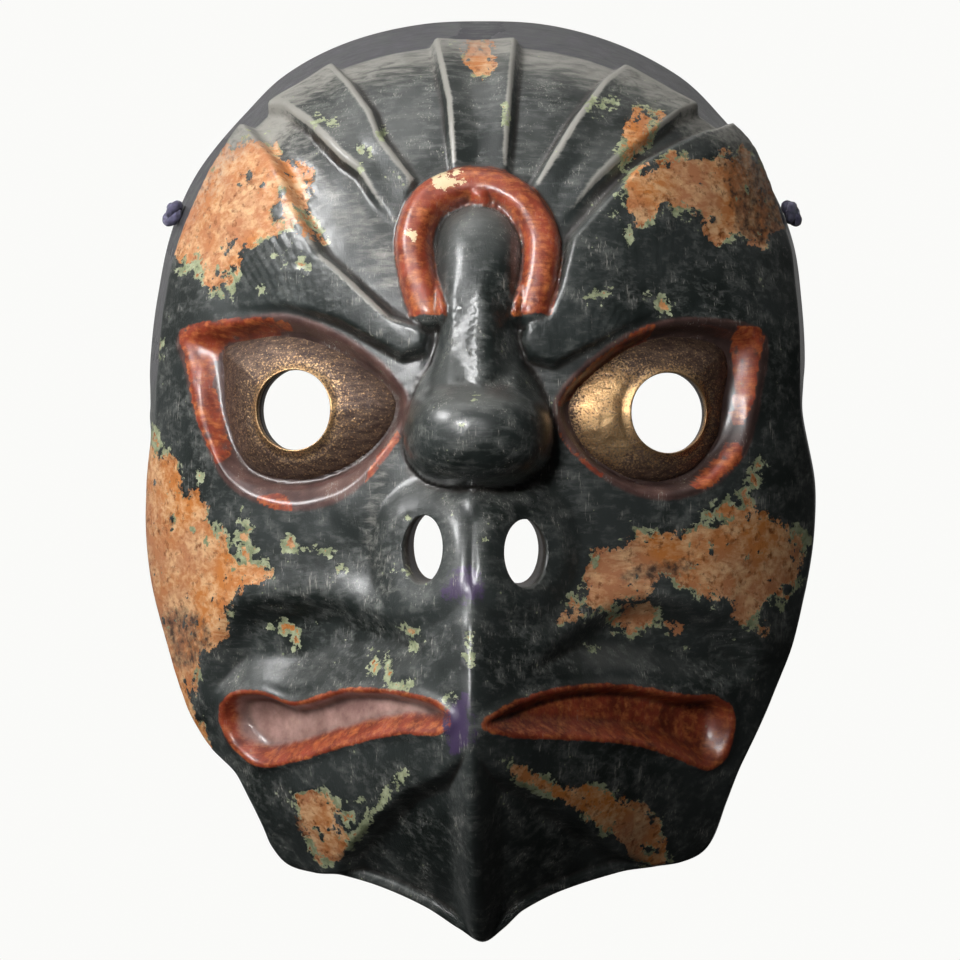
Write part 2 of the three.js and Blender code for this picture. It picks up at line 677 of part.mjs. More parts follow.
// ---------------------------------------------------------------- the assembly
const paintedWood = new THREE.MeshStandardMaterial({ color: 0x2c3230, roughness: 0.5, metalness: 0 });
const giltMetal = new THREE.MeshStandardMaterial({ color: 0xa87b45, roughness: 0.4, metalness: 0.9 });
const braidedCotton = new THREE.MeshStandardMaterial({ color: 0x3b3350, roughness: 0.9, metalness: 0 });

function piece(name, geometry, material) {
  const mesh = new THREE.Mesh(geometry, material);
  mesh.name = name;
  return mesh;
}

const mask = new THREE.Group();

const CUT_ABOVE = 12; // the eye seats are cut clear this far above the gilt
const eyeSeats = EYES.map((eye) => solid(eyeGeometry(eye, CUT_ABOVE, -EYE_SKIN - SEAT_GAP, SEAT_GAP)));
const pupilBores = EYES.map((eye) => pupilHole(eye, PUPIL_DIAMETER / 2 + PUPIL_WOOD_CLEARANCE));
const nostrilBores = NOSTRILS.map(nostrilHole);
const cordBores = SIDES.map(({ sign }) => cordHole(sign));
const cuts = [...eyeSeats, ...pupilBores, ...nostrilBores, ...cordBores];
const shell = cuts.reduce((wood, cut) => wood.subtract(cut), solid(blankGeometry()));
mask.add(piece("mask_shell", geometryOf(shell), paintedWood));

for (const eye of EYES) {
  const sheet = solid(eyeGeometry(eye, 0, -EYE_SKIN, 0)).subtract(pupilHole(eye, PUPIL_DIAMETER / 2));
  mask.add(piece("eye_dome_" + eye.side, geometryOf(sheet), giltMetal));
}

mask.add(piece("hanging_cord", cordGeometry(), braidedCotton));
for (const { name, degrees } of SIDES) {
  const knot = piece("cord_knot_" + name, knotGeometry(), braidedCotton);
  const outwards = wallNormal(degrees, CORD_EXIT_WAY);
  knot.position
    .copy(sidePoint(degrees, CORD_EXIT_WAY))
    .addScaledVector(outwards, SEAT_GAP + (KNOT_FLAT * KNOT_THICKNESS) / 2);
  knot.quaternion.setFromUnitVectors(new THREE.Vector3(0, 1, 0), outwards);
  mask.add(knot);
}

export default mask;
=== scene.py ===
"""Looks of a carved and painted wooden demon mask: lacquered shell, gilt eyes and a braided hanging cord.

Everything is laid out in millimetres and turned to metres where a mesh is made.
"""

from __future__ import annotations

import logging
import math
from dataclasses import dataclass, field
from enum import Enum
from functools import partial
from typing import Callable, Sequence

import bpy
import numpy as np
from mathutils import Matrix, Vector
from mathutils.kdtree import KDTree


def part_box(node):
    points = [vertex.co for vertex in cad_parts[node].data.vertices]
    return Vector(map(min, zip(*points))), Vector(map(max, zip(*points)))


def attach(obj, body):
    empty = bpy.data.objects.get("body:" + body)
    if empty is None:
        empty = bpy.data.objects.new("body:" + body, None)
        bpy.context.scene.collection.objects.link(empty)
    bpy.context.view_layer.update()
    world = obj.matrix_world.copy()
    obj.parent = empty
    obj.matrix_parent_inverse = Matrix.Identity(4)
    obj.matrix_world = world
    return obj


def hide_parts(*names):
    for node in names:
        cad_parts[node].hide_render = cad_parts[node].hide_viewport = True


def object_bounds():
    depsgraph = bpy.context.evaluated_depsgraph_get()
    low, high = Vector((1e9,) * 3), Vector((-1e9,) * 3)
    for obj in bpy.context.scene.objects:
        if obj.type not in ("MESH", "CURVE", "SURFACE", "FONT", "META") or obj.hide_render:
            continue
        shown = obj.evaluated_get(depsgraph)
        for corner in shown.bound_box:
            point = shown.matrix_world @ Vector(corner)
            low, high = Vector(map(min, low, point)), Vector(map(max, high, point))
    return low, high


Array = np.ndarray
Sockets = dict[str, bpy.types.NodeSocket]
Adder = Callable[..., bpy.types.NodeSocket]
MM = 0.001
BODY = "root"
log = logging.getLogger("mask")

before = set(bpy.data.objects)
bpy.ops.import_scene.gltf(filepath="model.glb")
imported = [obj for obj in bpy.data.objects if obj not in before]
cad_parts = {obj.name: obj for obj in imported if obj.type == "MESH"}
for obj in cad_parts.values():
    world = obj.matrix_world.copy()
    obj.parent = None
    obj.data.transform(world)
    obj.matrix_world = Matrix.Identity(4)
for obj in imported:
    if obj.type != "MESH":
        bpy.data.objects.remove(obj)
CAD_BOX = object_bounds()

# ------------------------------------------------------------ small mathematics
class Profile:
    """Smooth function through (position, value) knots in ascending order, periodic if asked."""

    def __init__(self, knots: Sequence[Sequence[float]], period: float = 0.0) -> None:
        """Keeps the knots and works out the slope at each.

        Args:
            knots: Positions and values, ascending by position.
            period: Length after which the values repeat, or 0 for ends that stay level.
        """
        table = np.array(knots, float)
        self.first, self.last, self.period = table[0, 0], table[-1, 0], period
        turn = np.array([period, 0.0])
        before = table[-1] - turn if period else table[0]
        after = [table[0] + turn, table[1] + turn] if period else [table[-1]]
        padded = np.vstack([before, table, after])
        rise = padded[2:, 1] - padded[:-2, 1]
        run = padded[2:, 0] - padded[:-2, 0]
        self.slopes = rise / run
        self.positions = padded[1:-1, 0]
        self.values = padded[1:-1, 1]

    def __call__(self, wanted: Array) -> Array:
        """Values at the given positions.

        Args:
            wanted: Positions, wrapped or held within the knots.

        Returns:
            One value for each position.
        """
        at = np.asarray(wanted, float)
        if self.period:
            at = self.first + np.mod(at - self.first, self.period)
        else:
            at = np.clip(at, self.first, self.last)
        i = np.clip(np.searchsorted(self.positions, at, "right") - 1, 0, len(self.positions) - 2)
        span = self.positions[i + 1] - self.positions[i]
        t = (at - self.positions[i]) / span
        start = self.values[i] * (1 + 2 * t) * (1 - t) ** 2
        end = self.values[i + 1] * (3 - 2 * t) * t**2
        lean = self.slopes[i] * t * (1 - t) ** 2 - self.slopes[i + 1] * t**2 * (1 - t)
        return start + end + span * lean


def smooth(value: Array, low: float, high: float) -> Array:
    """Eased step from 0 at low to 1 at high.

    Args:
        value: Values to step over.
        low: Where the step starts.
        high: Where it is complete.

    Returns:
        The step for each value.
    """
    t = np.clip((np.asarray(value, float) - low) / (high - low), 0, 1)
    return t * t * (3 - 2 * t)


def soft_max(a: Array, b: Array, blend: float) -> Array:
    """Larger of two heights, blended where they are close.

    Args:
        a: First heights.
        b: Second heights.
        blend: Difference over which they blend.

    Returns:
        The blended heights.
    """
    mix = np.clip(0.5 + 0.5 * (a - b) / blend, 0, 1)
    return b + (a - b) * mix + blend * mix * (1 - mix)


def curve_through(points: Sequence[Sequence[float]], closed: bool, steps: int) -> Array:
    """Centripetal Catmull-Rom curve through points of any dimension.

    Args:
        points: The points it passes through.
        closed: Whether it returns to the first point.
        steps: Number of equal steps of its parameter.

    Returns:
        The points of the curve, both ends included.
    """
    knots = np.array(points, float)
    count = len(knots)
    spans = count if closed else count - 1
    at = np.linspace(0, spans, steps + 1)
    first = np.minimum(at.astype(int), spans - 1)
    t = at - first
    if closed:
        ring = [knots[(first + k) % count] for k in (-1, 0, 1, 2)]
    else:
        padded = np.vstack([2 * knots[0] - knots[1], knots, 2 * knots[-1] - knots[-2]])
        ring = [padded[first + k] for k in range(4)]
    gaps = [np.maximum(np.linalg.norm(ring[k + 1] - ring[k], axis=1), 1e-8) ** 0.5 for k in range(3)]
    before, middle, after = (gap[:, None] for gap in gaps)
    p0, p1, p2, p3 = ring
    start = (p1 - p0) / before - (p2 - p0) / (before + middle) + (p2 - p1) / middle
    end = (p2 - p1) / middle - (p3 - p1) / (middle + after) + (p3 - p2) / after
    start, end, t = start * middle, end * middle, t[:, None]
    cubic = 2 * p1 - 2 * p2 + start + end
    square = -3 * p1 + 3 * p2 - 2 * start - end
    return p1 + start * t + square * t**2 + cubic * t**3


FAR = 30.0  # distances are not followed further than this
NEAR = 12  # nor those of the paint further than this: a whole number, so they go in steps of 1 mm


def distance_to(line: Array, x: Array, z: Array, reach: float = FAR) -> Array:
    """Distance from points to a polyline.

    Args:
        line: Corners of the polyline.
        x: Sideways places of the points.
        z: Heights of the points.
        reach: Largest distance that matters.

    Returns:
        The distances, at most reach.
    """
    low, high = line.min(0) - reach, line.max(0) + reach
    near = np.flatnonzero((x > low[0]) & (x < high[0]) & (z > low[1]) & (z < high[1]))
    px, pz = x[near], z[near]
    best = np.full(len(near), reach**2)
    for (ax, az), (bx, bz) in zip(line[:-1], line[1:]):
        dx, dz = bx - ax, bz - az
        t = np.clip(((px - ax) * dx + (pz - az) * dz) / (dx * dx + dz * dz or 1), 0, 1)
        best = np.minimum(best, (px - ax - t * dx) ** 2 + (pz - az - t * dz) ** 2)
    result = np.full(x.shape, reach)
    result[near] = np.sqrt(best)
    return result


def depth_inside(outline: Array, x: Array, z: Array, reach: float = FAR) -> Array:
    """Distance from points to the edge of a closed outline, positive inside it.

    Args:
        outline: Corners of the outline, the first repeated at the end.
        x: Sideways places of the points.
        z: Heights of the points.
        reach: Largest distance that matters.

    Returns:
        The signed distances.
    """
    low, high = outline.min(0), outline.max(0)
    near = np.flatnonzero((x > low[0]) & (x < high[0]) & (z > low[1]) & (z < high[1]))
    px, pz = x[near], z[near]
    inside = np.zeros(len(near), bool)
    for (ax, az), (bx, bz) in zip(outline[:-1], outline[1:]):
        if az == bz:
            continue
        crosses = ((az > pz) != (bz > pz)) & (px < ax + (bx - ax) * (pz - az) / (bz - az))
        inside ^= crosses
    sign = np.full(x.shape, -1.0)
    sign[near] = np.where(inside, 1.0, -1.0)
    return distance_to(outline, x, z, reach) * sign


def deepest_inside(outlines: Sequence[Array], x: Array, z: Array, reach: float = FAR) -> Array:
    """Depth of points inside whichever of several closed outlines holds them.

    Args:
        outlines: The outlines.
        x: Sideways places of the points.
        z: Heights of the points.
        reach: Largest distance that matters.

    Returns:
        The signed distances, positive inside any of them.
    """
    return np.max([depth_inside(outline, x, z, reach) for outline in outlines], axis=0)


def polygon(points: Sequence[Sequence[float]]) -> Array:
    """Closed outline with sharp corners."""
    return np.array([*points, points[0]], float)


def blob(points: Sequence[Sequence[float]]) -> Array:
    """Closed outline with rounded corners."""
    return curve_through(points, True, 8 * len(points))


def stroke(points: Sequence[Sequence[float]]) -> Array:
    """Open smoothed line."""
    return curve_through(points, False, 6 * len(points))


# ------------------------------------------------------------ layout of the carving, (x, z) in mm
CENTRE = (0.0, -100.0)  # the rings of the face are drawn round this point
FULL_TURN = 360.0
# The front edge of the face, anticlockwise from the right temple.
FACE_EDGE = (
    (88, -89), (87.5, -72.5), (86.7, -56), (84.8, -40), (80.7, -28.6), (71.5, -15), (61, -7), (48.5, 1),
    (33, 8), (15, 12.6), (-1, 13.4), (-15, 12.8), (-37, 7.5), (-52, -0.5), (-62, -10), (-77, -27.5),
    (-83, -40), (-86.4, -56), (-88.3, -72.5), (-89.4, -89), (-92, -108), (-92.4, -117), (-91, -133),
    (-86.7, -149), (-80.6, -166), (-74.7, -177), (-66.8, -184.5), (-63.5, -190), (-59, -199),
    (-56.5, -205), (-52, -210), (-44, -211.7), (-37, -211.6), (-25.3, -214), (-13.4, -218.5),
    (-4, -224.2), (1.9, -227.5), (7.2, -224), (12.7, -219), (23.3, -214.2), (38, -210.6),
    (47.8, -209.8), (55, -209), (60.5, -206.8), (63.6, -203), (67.3, -193), (71.5, -182.4),
    (79.3, -166), (84, -154.5), (88.6, -138), (91.6, -118), (91.6, -107),
)
# How far the rear rim stands outside the front edge, and in front of the wall, by direction in degrees.
RIM_FLARE = (
    (-150, -4), (-120, -3), (-90, -1), (-60, -3), (-25, -4), (8, -1), (15, 2.6), (27, 3), (41, 2.6),
    (50, 4), (63, 9.5), (90, 10.5), (118, 10), (133, 8.5), (145, 6.5), (165, 5.8), (171, 4), (177, -1),
)
RIM_STEP = (
    (-160, 13), (-130, 17), (-112, 24), (-100, 38), (-90, 47), (-80, 38), (-68, 24), (-50, 17),
    (-20, 13), (8, 9), (12, 8), (14.5, 0), (17, 0), (90, 0), (168, 0), (170.5, 0), (173, 8), (178, 9),
)
KEEL_CREST = (
    (-232, 58), (-222, 69), (-210, 80), (-190, 91), (-170, 95), (-150, 92), (-125, 85), (-108, 79),
    (-94, 67), (-80, 40), (-60, 0),
)
NOSE_CREST = (
    (-110, 80), (-97, 88), (-80, 84), (-66, 78), (-52, 72), (-38, 66), (-31, 59), (-27, 50),
)
NOSE_HALF_WIDTH = (
    (-110, 20.4), (-93.5, 20.4), (-86.3, 19), (-82.7, 17.6), (-79, 15.8), (-75, 13.4), (-71.6, 12),
    (-66, 11), (-57, 11.8), (-47, 12.4), (-40, 11.8), (-35, 9.2), (-31.5, 3),
)
# The middle plate and the two feather plates of the forehead; their outer ends run past the face's edge.
PLATES = (
    polygon((
        (-16, 30), (13, 30), (11.4, 14), (9, -28), (-7, -28), (-9.5, -4.4), (-14, 14),
    )),
    polygon((
        (-54, 36), (-40, 9), (-33.7, 2.5), (-27.3, -6.2), (-24.2, -13.8), (-15.5, -25),
        (-19.5, -41), (-26.6, -33.1), (-32.2, -24.5), (-37.1, -20.7), (-45.4, -12), (-53, -6.3),
        (-62, -5), (-84, 10),
    )),
    polygon((
        (50, 34), (39, 8), (32.7, 2.8), (24.6, -9.1), (13.5, -28), (20.5, -42), (32.8, -27.3),
        (43.6, -17.2), (54.6, -8.2), (61.6, -5), (82, 8),
    )),
)
BROW_CRESTS = (
    stroke((
        (-74, 2), (-60, -10.6), (-51.8, -20.8), (-44.1, -36.6), (-34.1, -49.7), (-21.2, -61.8),
        (-13.6, -64.2),
    )),
    stroke((
        (80, 2), (64.3, -9.8), (57.4, -12.3), (43.6, -20), (32.8, -31.4), (24.3, -41.3), (21.1, -54.8),
        (13, -64.2),
    )),
)
BROW_BODIES = (
    polygon((
        (-74, 2), (-60, -10.6), (-51.8, -20.8), (-44.1, -36.6), (-39.7, -44.9), (-34.1, -49.7),
        (-21.2, -61.8), (-13.6, -64.2), (-11.3, -67.5), (-12.5, -72), (-18.9, -74), (-36.5, -64.1),
        (-50, -60), (-66, -60), (-84, -63), (-100, -50), (-100, 0),
    )),
    polygon((
        (80, 2), (64.3, -9.8), (57.4, -12.3), (43.6, -20), (32.8, -31.4), (24.3, -41.3), (21.1, -54.8),
        (18.3, -61.6), (13, -64.2), (11.4, -69), (13.5, -74), (21, -76), (33, -69.5), (46, -62.5),
        (60, -60.5), (82, -63), (100, -50), (100, 0),
    )),
)
RING_LINE = stroke((
    (-12.3, -61), (-15.4, -50.5), (-16.3, -41), (-12.2, -31.2), (-0.2, -27), (10.9, -30.8),
    (17.2, -40.5), (17.4, -49.5), (15, -61),
))
# Pinched hollows down the bridge of the nose.
FURROWS = (
    stroke(((-1.5, -50), (-2, -60), (-3, -72), (-1.5, -82), (0.6, -89))),
    stroke(((5, -52), (8, -63), (8.6, -74), (5.5, -84), (1.6, -91))),
)
PUPILS = ((-48.8, -86.7), (51.6, -87.5))
PUPIL_DIAMETER = 21.6
PUPIL_LEAN = 0.2  # sideways drift of a pupil's hole for each millimetre that it goes back
LIDS = (
    blob((
        (-81.2, -65.8), (-64.5, -62.3), (-50.3, -61.6), (-36.5, -66.5), (-22.9, -76.5), (-17.2, -86),
        (-24.4, -99.5), (-35.3, -109.9), (-50.3, -112.9), (-66, -106.8), (-74.8, -91.8), (-79.2, -76),
    )),
    blob((
        (77, -66.3), (59.8, -62.6), (46.2, -64.5), (32.9, -72), (22, -83.5), (21.4, -89), (26.2, -97.6),
        (38.2, -106.9), (50.2, -110.2), (62.5, -107), (71.3, -98.6), (75.6, -83.6),
    )),
)
GILTS = (
    blob((
        (-72, -69.5), (-62, -66.6), (-50.5, -66.2), (-35.8, -71.8), (-21.7, -84.6), (-28.8, -97.4),
        (-47.8, -105.6), (-64.7, -102), (-70.8, -89.1), (-72.2, -77),
    )),
    blob((
        (69.5, -70), (57.1, -66.4), (46.2, -68), (32.9, -76.1), (25.2, -85.4), (30.2, -97.2),
        (43.5, -105.2), (57.1, -104.7), (66.5, -95.9), (69.3, -83.6),
    )),
)
FOLD_CRESTS = (
    stroke((
        (-17, -140.5), (-25.3, -138.7), (-39.3, -135.3), (-53.3, -135.5), (-64.7, -137.9),
        (-70.3, -145), (-73.2, -154.4), (-73, -164),
    )),
    stroke((
        (19, -149), (27.6, -141.1), (38.2, -136.1), (48.9, -135), (59.8, -137.9), (69.4, -142.1),
        (76.6, -150),
    )),
)
FOLD_HOLLOWS = (
    blob((
        (-15.7, -141), (-25.3, -138.7), (-39.3, -135.3), (-53.3, -135.5), (-64.7, -137.9),
        (-70, -144.8), (-72.9, -154.4), (-72, -164), (-60, -161), (-48.6, -161.5), (-34.6, -158),
        (-19.4, -157), (-11, -152),
    )),
    blob((
        (17, -150), (27.6, -141.1), (38.2, -136.1), (48.9, -135), (59.8, -137.9), (69.4, -142.1),
        (76.4, -150), (76, -159), (66, -162), (54, -160.5), (38, -157), (22, -157.5), (14, -156),
    )),
)
LIP_GROOVES = (
    blob((
        (-5, -167.2), (-8.5, -163.4), (-19.4, -160.8), (-34.6, -161), (-48.6, -165), (-58, -162.6),
        (-66, -163.4), (-69, -168.4), (-67.5, -175), (-59.6, -181.9), (-50.3, -180.5), (-36.1, -175.7),
        (-19.4, -171), (-8.5, -170.2),
    )),
    blob((
        (3.3, -168.3), (9.6, -164), (22.4, -160.2), (38.2, -159.9), (54.3, -163.1), (65, -164.6),
        (68.4, -168.5), (66, -180), (62, -182.8), (57.1, -180.9), (43.5, -175.3), (22.4, -172.3),
        (9.6, -171),
    )),
)
LIP_PITS = ((-58, -171.5), (59.5, -171))
SCOOPS = (
    polygon((
        (-0.5, -173.8), (-8.7, -180.9), (-18.4, -185.6), (-26, -193), (-32.7, -200.6), (-38, -207),
        (-38, -222), (0.6, -240),
    )),
    polygon((
        (1, -174.5), (7, -180.1), (17.2, -185.3), (27.5, -194.6), (38.2, -203.8), (48, -208.8),
        (48, -222), (2.4, -240),
    )),
)


class Grain:
    """Repeatable value noise through space, from -1 to 1."""

    def __init__(self, seed: int) -> None:
        """Draws the lattice of random values that the noise is made from."""
        self.lattice = np.random.default_rng(seed).uniform(-1, 1, (64, 64, 64))

    def octave(self, points: Array, size: float) -> Array:
        """One layer of noise.

        Args:
            points: One point in each row, in millimetres.
            size: Size of its blotches, in millimetres.

        Returns:
            One value for each point.
        """
        place = points / size + 1000.0
        cell = np.floor(place).astype(int)
        t = place - cell
        t = t * t * (3 - 2 * t)
        total = np.zeros(len(points))
        for corner in np.ndindex(2, 2, 2):
            weight = np.prod(np.where(np.array(corner) == 1, t, 1 - t), axis=1)
            i, j, k = ((cell + corner) % 64).T
            total += weight * self.lattice[i, j, k]
        return total

    def __call__(self, points: Array, size: float, octaves: int = 3) -> Array:
        """Layers of noise, each half the size and strength of the one before.

        Args:
            points: One point in each row, in millimetres.
            size: Size of the largest blotches, in millimetres.
            octaves: Number of layers.

        Returns:
            One value for each point.
        """
        layers = range(octaves)
        strength = sum(0.55**k for k in layers)
        return sum(0.55**k * self.octave(points + 17.3 * k, size / 2**k) for k in layers) * 1.6 / strength


@dataclass
class Relief:
    """The carved face as heights and lifts over (x, z), everything in millimetres."""

    dome_height: float = 68.0
    dome_half_width: float = 99.0
    dome_z: float = -95.0
    dome_up: float = 117.0
    dome_down: float = 142.0
    dome_squareness: float = 2.5
    keel_slope: float = 0.85
    keel_edge: float = 2.2
    keel_blend: float = 7.0
    nose_x: float = 1.0
    bulb_z: float = -93.5
    bulb_half_width: float = 19.6
    bulb_half_height: float = 14.6
    bulb_foot: float = 69.0
    bulb_rise: float = 23.5
    plate_lift: float = 3.6
    bevel: float = 2.0
    brow_lift: float = 5.0
    brow_roll: float = 15.0
    ring_half_width: float = 5.0
    ring_lift: float = 5.4
    socket_depth: float = 5.2
    eye_bulge: float = 6.0
    lip_depth: float = 4.0
    pit_depth: float = 2.4
    fold_hollow: float = 3.75
    fold_reach: float = 9.0
    fold_roll: float = 1.54
    scoop_depth: float = 5.0
    scoop_reach: float = 7.0
    wall: float = 8.0
    rim_width: float = 7.0
    hand_wobble: float = 0.3
    grain: Grain = field(default_factory=lambda: Grain(seed=11))

    def __post_init__(self) -> None:
        """Makes the profiles that the forms follow."""
        polar = sorted((math.degrees(math.atan2(z - CENTRE[1], x - CENTRE[0])),
                        math.hypot(x - CENTRE[0], z - CENTRE[1])) for x, z in FACE_EDGE)
        self.edge_radius = Profile(polar, FULL_TURN)
        self.rim_flare = Profile(RIM_FLARE, FULL_TURN)
        self.rim_step = Profile(RIM_STEP, FULL_TURN)
        self.keel_crest = Profile(KEEL_CREST)
        self.nose_crest = Profile(NOSE_CREST)
        self.nose_half_width = Profile(NOSE_HALF_WIDTH)

    def dome(self, x: Array, z: Array) -> Array:
        """Height of the plain dome of the face.

        Args:
            x: Sideways places.
            z: Upward places.

        Returns:
            Heights in front of the wall.
        """
        reach = np.where(z > self.dome_z, self.dome_up, self.dome_down)
        across = np.abs(x / self.dome_half_width) ** self.dome_squareness
        along = np.abs((z - self.dome_z) / reach) ** self.dome_squareness
        r = (across + along) ** (1 / self.dome_squareness)
        return self.dome_height * np.sqrt(np.maximum(1 - r**2, 0.02))

    def beak(self, x: Array, z: Array) -> Array:
        """Height of the prow-like beak, whose crest runs from under the nose to the tip.

        Args:
            x: Sideways places.
            z: Upward places.

        Returns:
            Heights in front of the wall.
        """
        drift = 1.5 * smooth(-z, 190, 228)
        side = np.hypot(x - drift, self.keel_edge) - self.keel_edge
        return self.keel_crest(z) - self.keel_slope * side

    def base(self, x: Array, z: Array) -> Array:
        """Smooth form of the face, which the hollow follows."""
        return soft_max(self.dome(x, z), self.beak(x, z), self.keel_blend)

    def nose(self, x: Array, z: Array) -> Array:
        """Height of the long nose with its hooked bulb.

        Args:
            x: Sideways places.
            z: Upward places.

        Returns:
            Heights in front of the wall, zero beside the nose.
        """
        across = np.abs(x - self.nose_x) / self.nose_half_width(z)
        under = self.dome(x, z) - 4
        bridge = under + (self.nose_crest(z) - under) * np.maximum(1 - across**2.4, 0) ** 0.6
        height = np.where((z > self.bulb_z) & (z < -30) & (across < 1), bridge, 0)
        sideways, upwards = np.abs(x - self.nose_x) / self.bulb_half_width, np.abs(z - self.bulb_z)
        r2 = sideways**2.4 + (upwards / self.bulb_half_height) ** 2.6
        bulb = self.bulb_foot + self.bulb_rise * np.maximum(1 - r2, 0) ** 0.45
        return np.where(r2 < 1, soft_max(height, bulb, 3), height)

    def nose_marks(self, x: Array, z: Array) -> Array:
        """Worn pinches and a shallow furrow down the nose's bridge.

        Args:
            x: Sideways places.
            z: Upward places.

        Returns:
            The lift at each point, negative where it is sunk.
        """
        furrows = sum(np.exp(-((distance_to(line, x, z, NEAR) / 2.5) ** 2)) for line in FURROWS)
        pinch = np.exp(-(((np.abs(x - 1) - 10.5) / 3.2) ** 2) - ((z + 74) / 7) ** 2)
        return -1.6 * furrows * smooth(z, -88, -77) * (1 - smooth(z, -62, -48)) - 0.6 * pinch

    def plates(self, x: Array, z: Array) -> Array:
        """Lift of the three plates of the forehead, with a scooped face inside each worn edge.

        Args:
            x: Sideways places.
            z: Upward places.

        Returns:
            The lift at each point.
        """
        depth = deepest_inside(PLATES, x, z)
        lift = self.plate_lift * smooth(depth, -0.4, self.bevel) - 0.9 * smooth(depth, 1.5, 9)
        return lift * smooth(z + 0.35 * np.abs(x), -34, -4)

    def brows(self, x: Array, z: Array) -> Array:
        """Lift of the winged brows, highest along their crests.

        Args:
            x: Sideways places.
            z: Upward places.

        Returns:
            The lift at each point.
        """
        lift = np.zeros(x.shape)
        for side, crest, body in zip((-1, 1), BROW_CRESTS, BROW_BODIES):
            here = np.flatnonzero(x * side >= 0)
            near = distance_to(crest, x[here], z[here], 60)
            roll = np.exp(-((near / self.brow_roll) ** 2))
            edge = smooth(depth_inside(body, x[here], z[here]), -0.4, self.bevel)
            lift[here] = self.brow_lift * edge * (0.3 + 0.7 * roll) * (1 - smooth(near, 14, 34))
        return lift

    def ring(self, x: Array, z: Array) -> Array:
        """Lift of the red horseshoe ring over the nose."""
        across = distance_to(RING_LINE, x, z) / self.ring_half_width
        return self.ring_lift * np.maximum(1 - across**2.6, 0) ** 0.6

    def eye(self, side: int, x: Array, z: Array) -> tuple[Array, Array]:
        """Lift inside one eye's lids.

        Args:
            side: 0 for the left eye, 1 for the right.
            x: Sideways places.
            z: Upward places.

        Returns:
            The lift of the gilt and of the bevelled lids, and the depth inside the lids' outline.
        """
        in_lid = depth_inside(LIDS[side], x, z)
        in_gilt = depth_inside(GILTS[side], x, z)
        slope = smooth(in_lid / np.maximum(in_lid + np.maximum(-in_gilt, 0), 1e-6), 0.1, 1)
        bulge = self.eye_bulge * (1 - np.exp(-np.maximum(in_gilt, 0) / 8))
        under = smooth(-(z - PUPILS[side][1]), 6, 16)
        crease = np.exp(-(((in_gilt + 0.4) / 1.1) ** 2)) - 0.7 * np.exp(-(((in_gilt + 2.4) / 1.0) ** 2))
        return -self.socket_depth * slope + bulge - 0.9 * under * crease, in_lid

    def lips(self, x: Array, z: Array) -> Array:
        """Lift of the sunken lips with their raised edges and outer pits.

        Args:
            x: Sideways places.
            z: Upward places.

        Returns:
            The lift at each point.
        """
        lift = np.zeros(x.shape)
        for side, groove, pit in zip((-1, 1), LIP_GROOVES, LIP_PITS):
            here = np.flatnonzero(x * side >= 0)
            gx, gz = x[here], z[here]
            depth = depth_inside(groove, gx, gz)
            r2 = ((gx - pit[0]) / 9.5) ** 2 + ((gz - pit[1]) / 8.5) ** 2
            floor = self.lip_depth * smooth(depth, -0.2, 4) + self.pit_depth * np.maximum(1 - r2, 0)
            lift[here] = np.exp(-((depth / 1.6) ** 2)) - floor
        return lift

    def folds(self, x: Array, z: Array) -> Array:
        """Lift of the cheek folds and the hollows under them.

        Args:
            x: Sideways places.
            z: Upward places.

        Returns:
            The lift at each point.
        """
        lift = np.zeros(x.shape)
        for side, crest, hollow in zip((-1, 1), FOLD_CRESTS, FOLD_HOLLOWS):
            here = np.flatnonzero(x * side >= 0)
            roll = np.exp(-((distance_to(crest, x[here], z[here]) / 6) ** 2))
            sunk = smooth(depth_inside(hollow, x[here], z[here]), 0, self.fold_reach)
            lift[here] = self.fold_roll * roll - self.fold_hollow * sunk
        return lift

    def wings(self, x: Array, z: Array) -> Array:
        """Lift of the swellings round the nostrils."""
        r2 = ((np.abs(x) - 13.5) / 15) ** 2 + ((z + 124) / 20) ** 2
        return 2.6 * smooth(1 - r2, 0, 0.7)

    def scoops(self, x: Array, z: Array) -> Array:
        """Lift of the two gouged scoops of the chin."""
        depth = deepest_inside(SCOOPS, x, z)
        return -self.scoop_depth * smooth(depth, -0.3, self.scoop_reach)

    def carving(self, x: Array, z: Array) -> Array:
        """All fine carving as a lift along the dome's normal.

        Args:
            x: Sideways places.
            z: Upward places.

        Returns:
            The lift at each point.
        """
        upper = np.maximum(np.maximum(self.plates(x, z), self.brows(x, z)), self.ring(x, z))
        for side in (0, 1):
            lift, in_lid = self.eye(side, x, z)
            upper = np.where(in_lid > 0, lift, upper)
        lower = self.lips(x, z) + self.folds(x, z) + self.wings(x, z) + self.scoops(x, z)
        return upper + lower + self.nose_marks(x, z)

    def normal(self, x: Array, z: Array) -> Array:
        """Outward unit normals of the plain dome, one row for each point.

        Args:
            x: Sideways places.
            z: Upward places.

        Returns:
            One normal in each row.
        """
        step = 0.5
        slope_x = (self.dome(x + step, z) - self.dome(x - step, z)) / (2 * step)
        slope_z = (self.dome(x, z + step) - self.dome(x, z - step)) / (2 * step)
        rows = np.stack([-slope_x, -np.ones(x.shape), -slope_z], axis=1)
        return rows / np.linalg.norm(rows, axis=1)[:, None]

    def face(self, x: Array, z: Array, lift: float = 0.0, detail: float = 1.0) -> Array:
        """Points of the carved face.

        Args:
            x: Sideways places.
            z: Upward places.
            lift: Extra distance off the face.
            detail: Share of the fine carving.

        Returns:
            One point in each row.
        """
        x, z = np.asarray(x, float), np.asarray(z, float)
        height = np.maximum(self.base(x, z), self.nose(x, z))
        raised = lift + (detail * self.carving(x, z) if detail else 0)
        flat = np.stack([x, -height, z], axis=1)
        return flat + self.normal(x, z) * (raised * np.ones(x.shape))[:, None]

    def point(self, x: float, z: float) -> Array:
        """Point of the carved face at one place."""
        return self.face(np.array([x]), np.array([z]))[0]

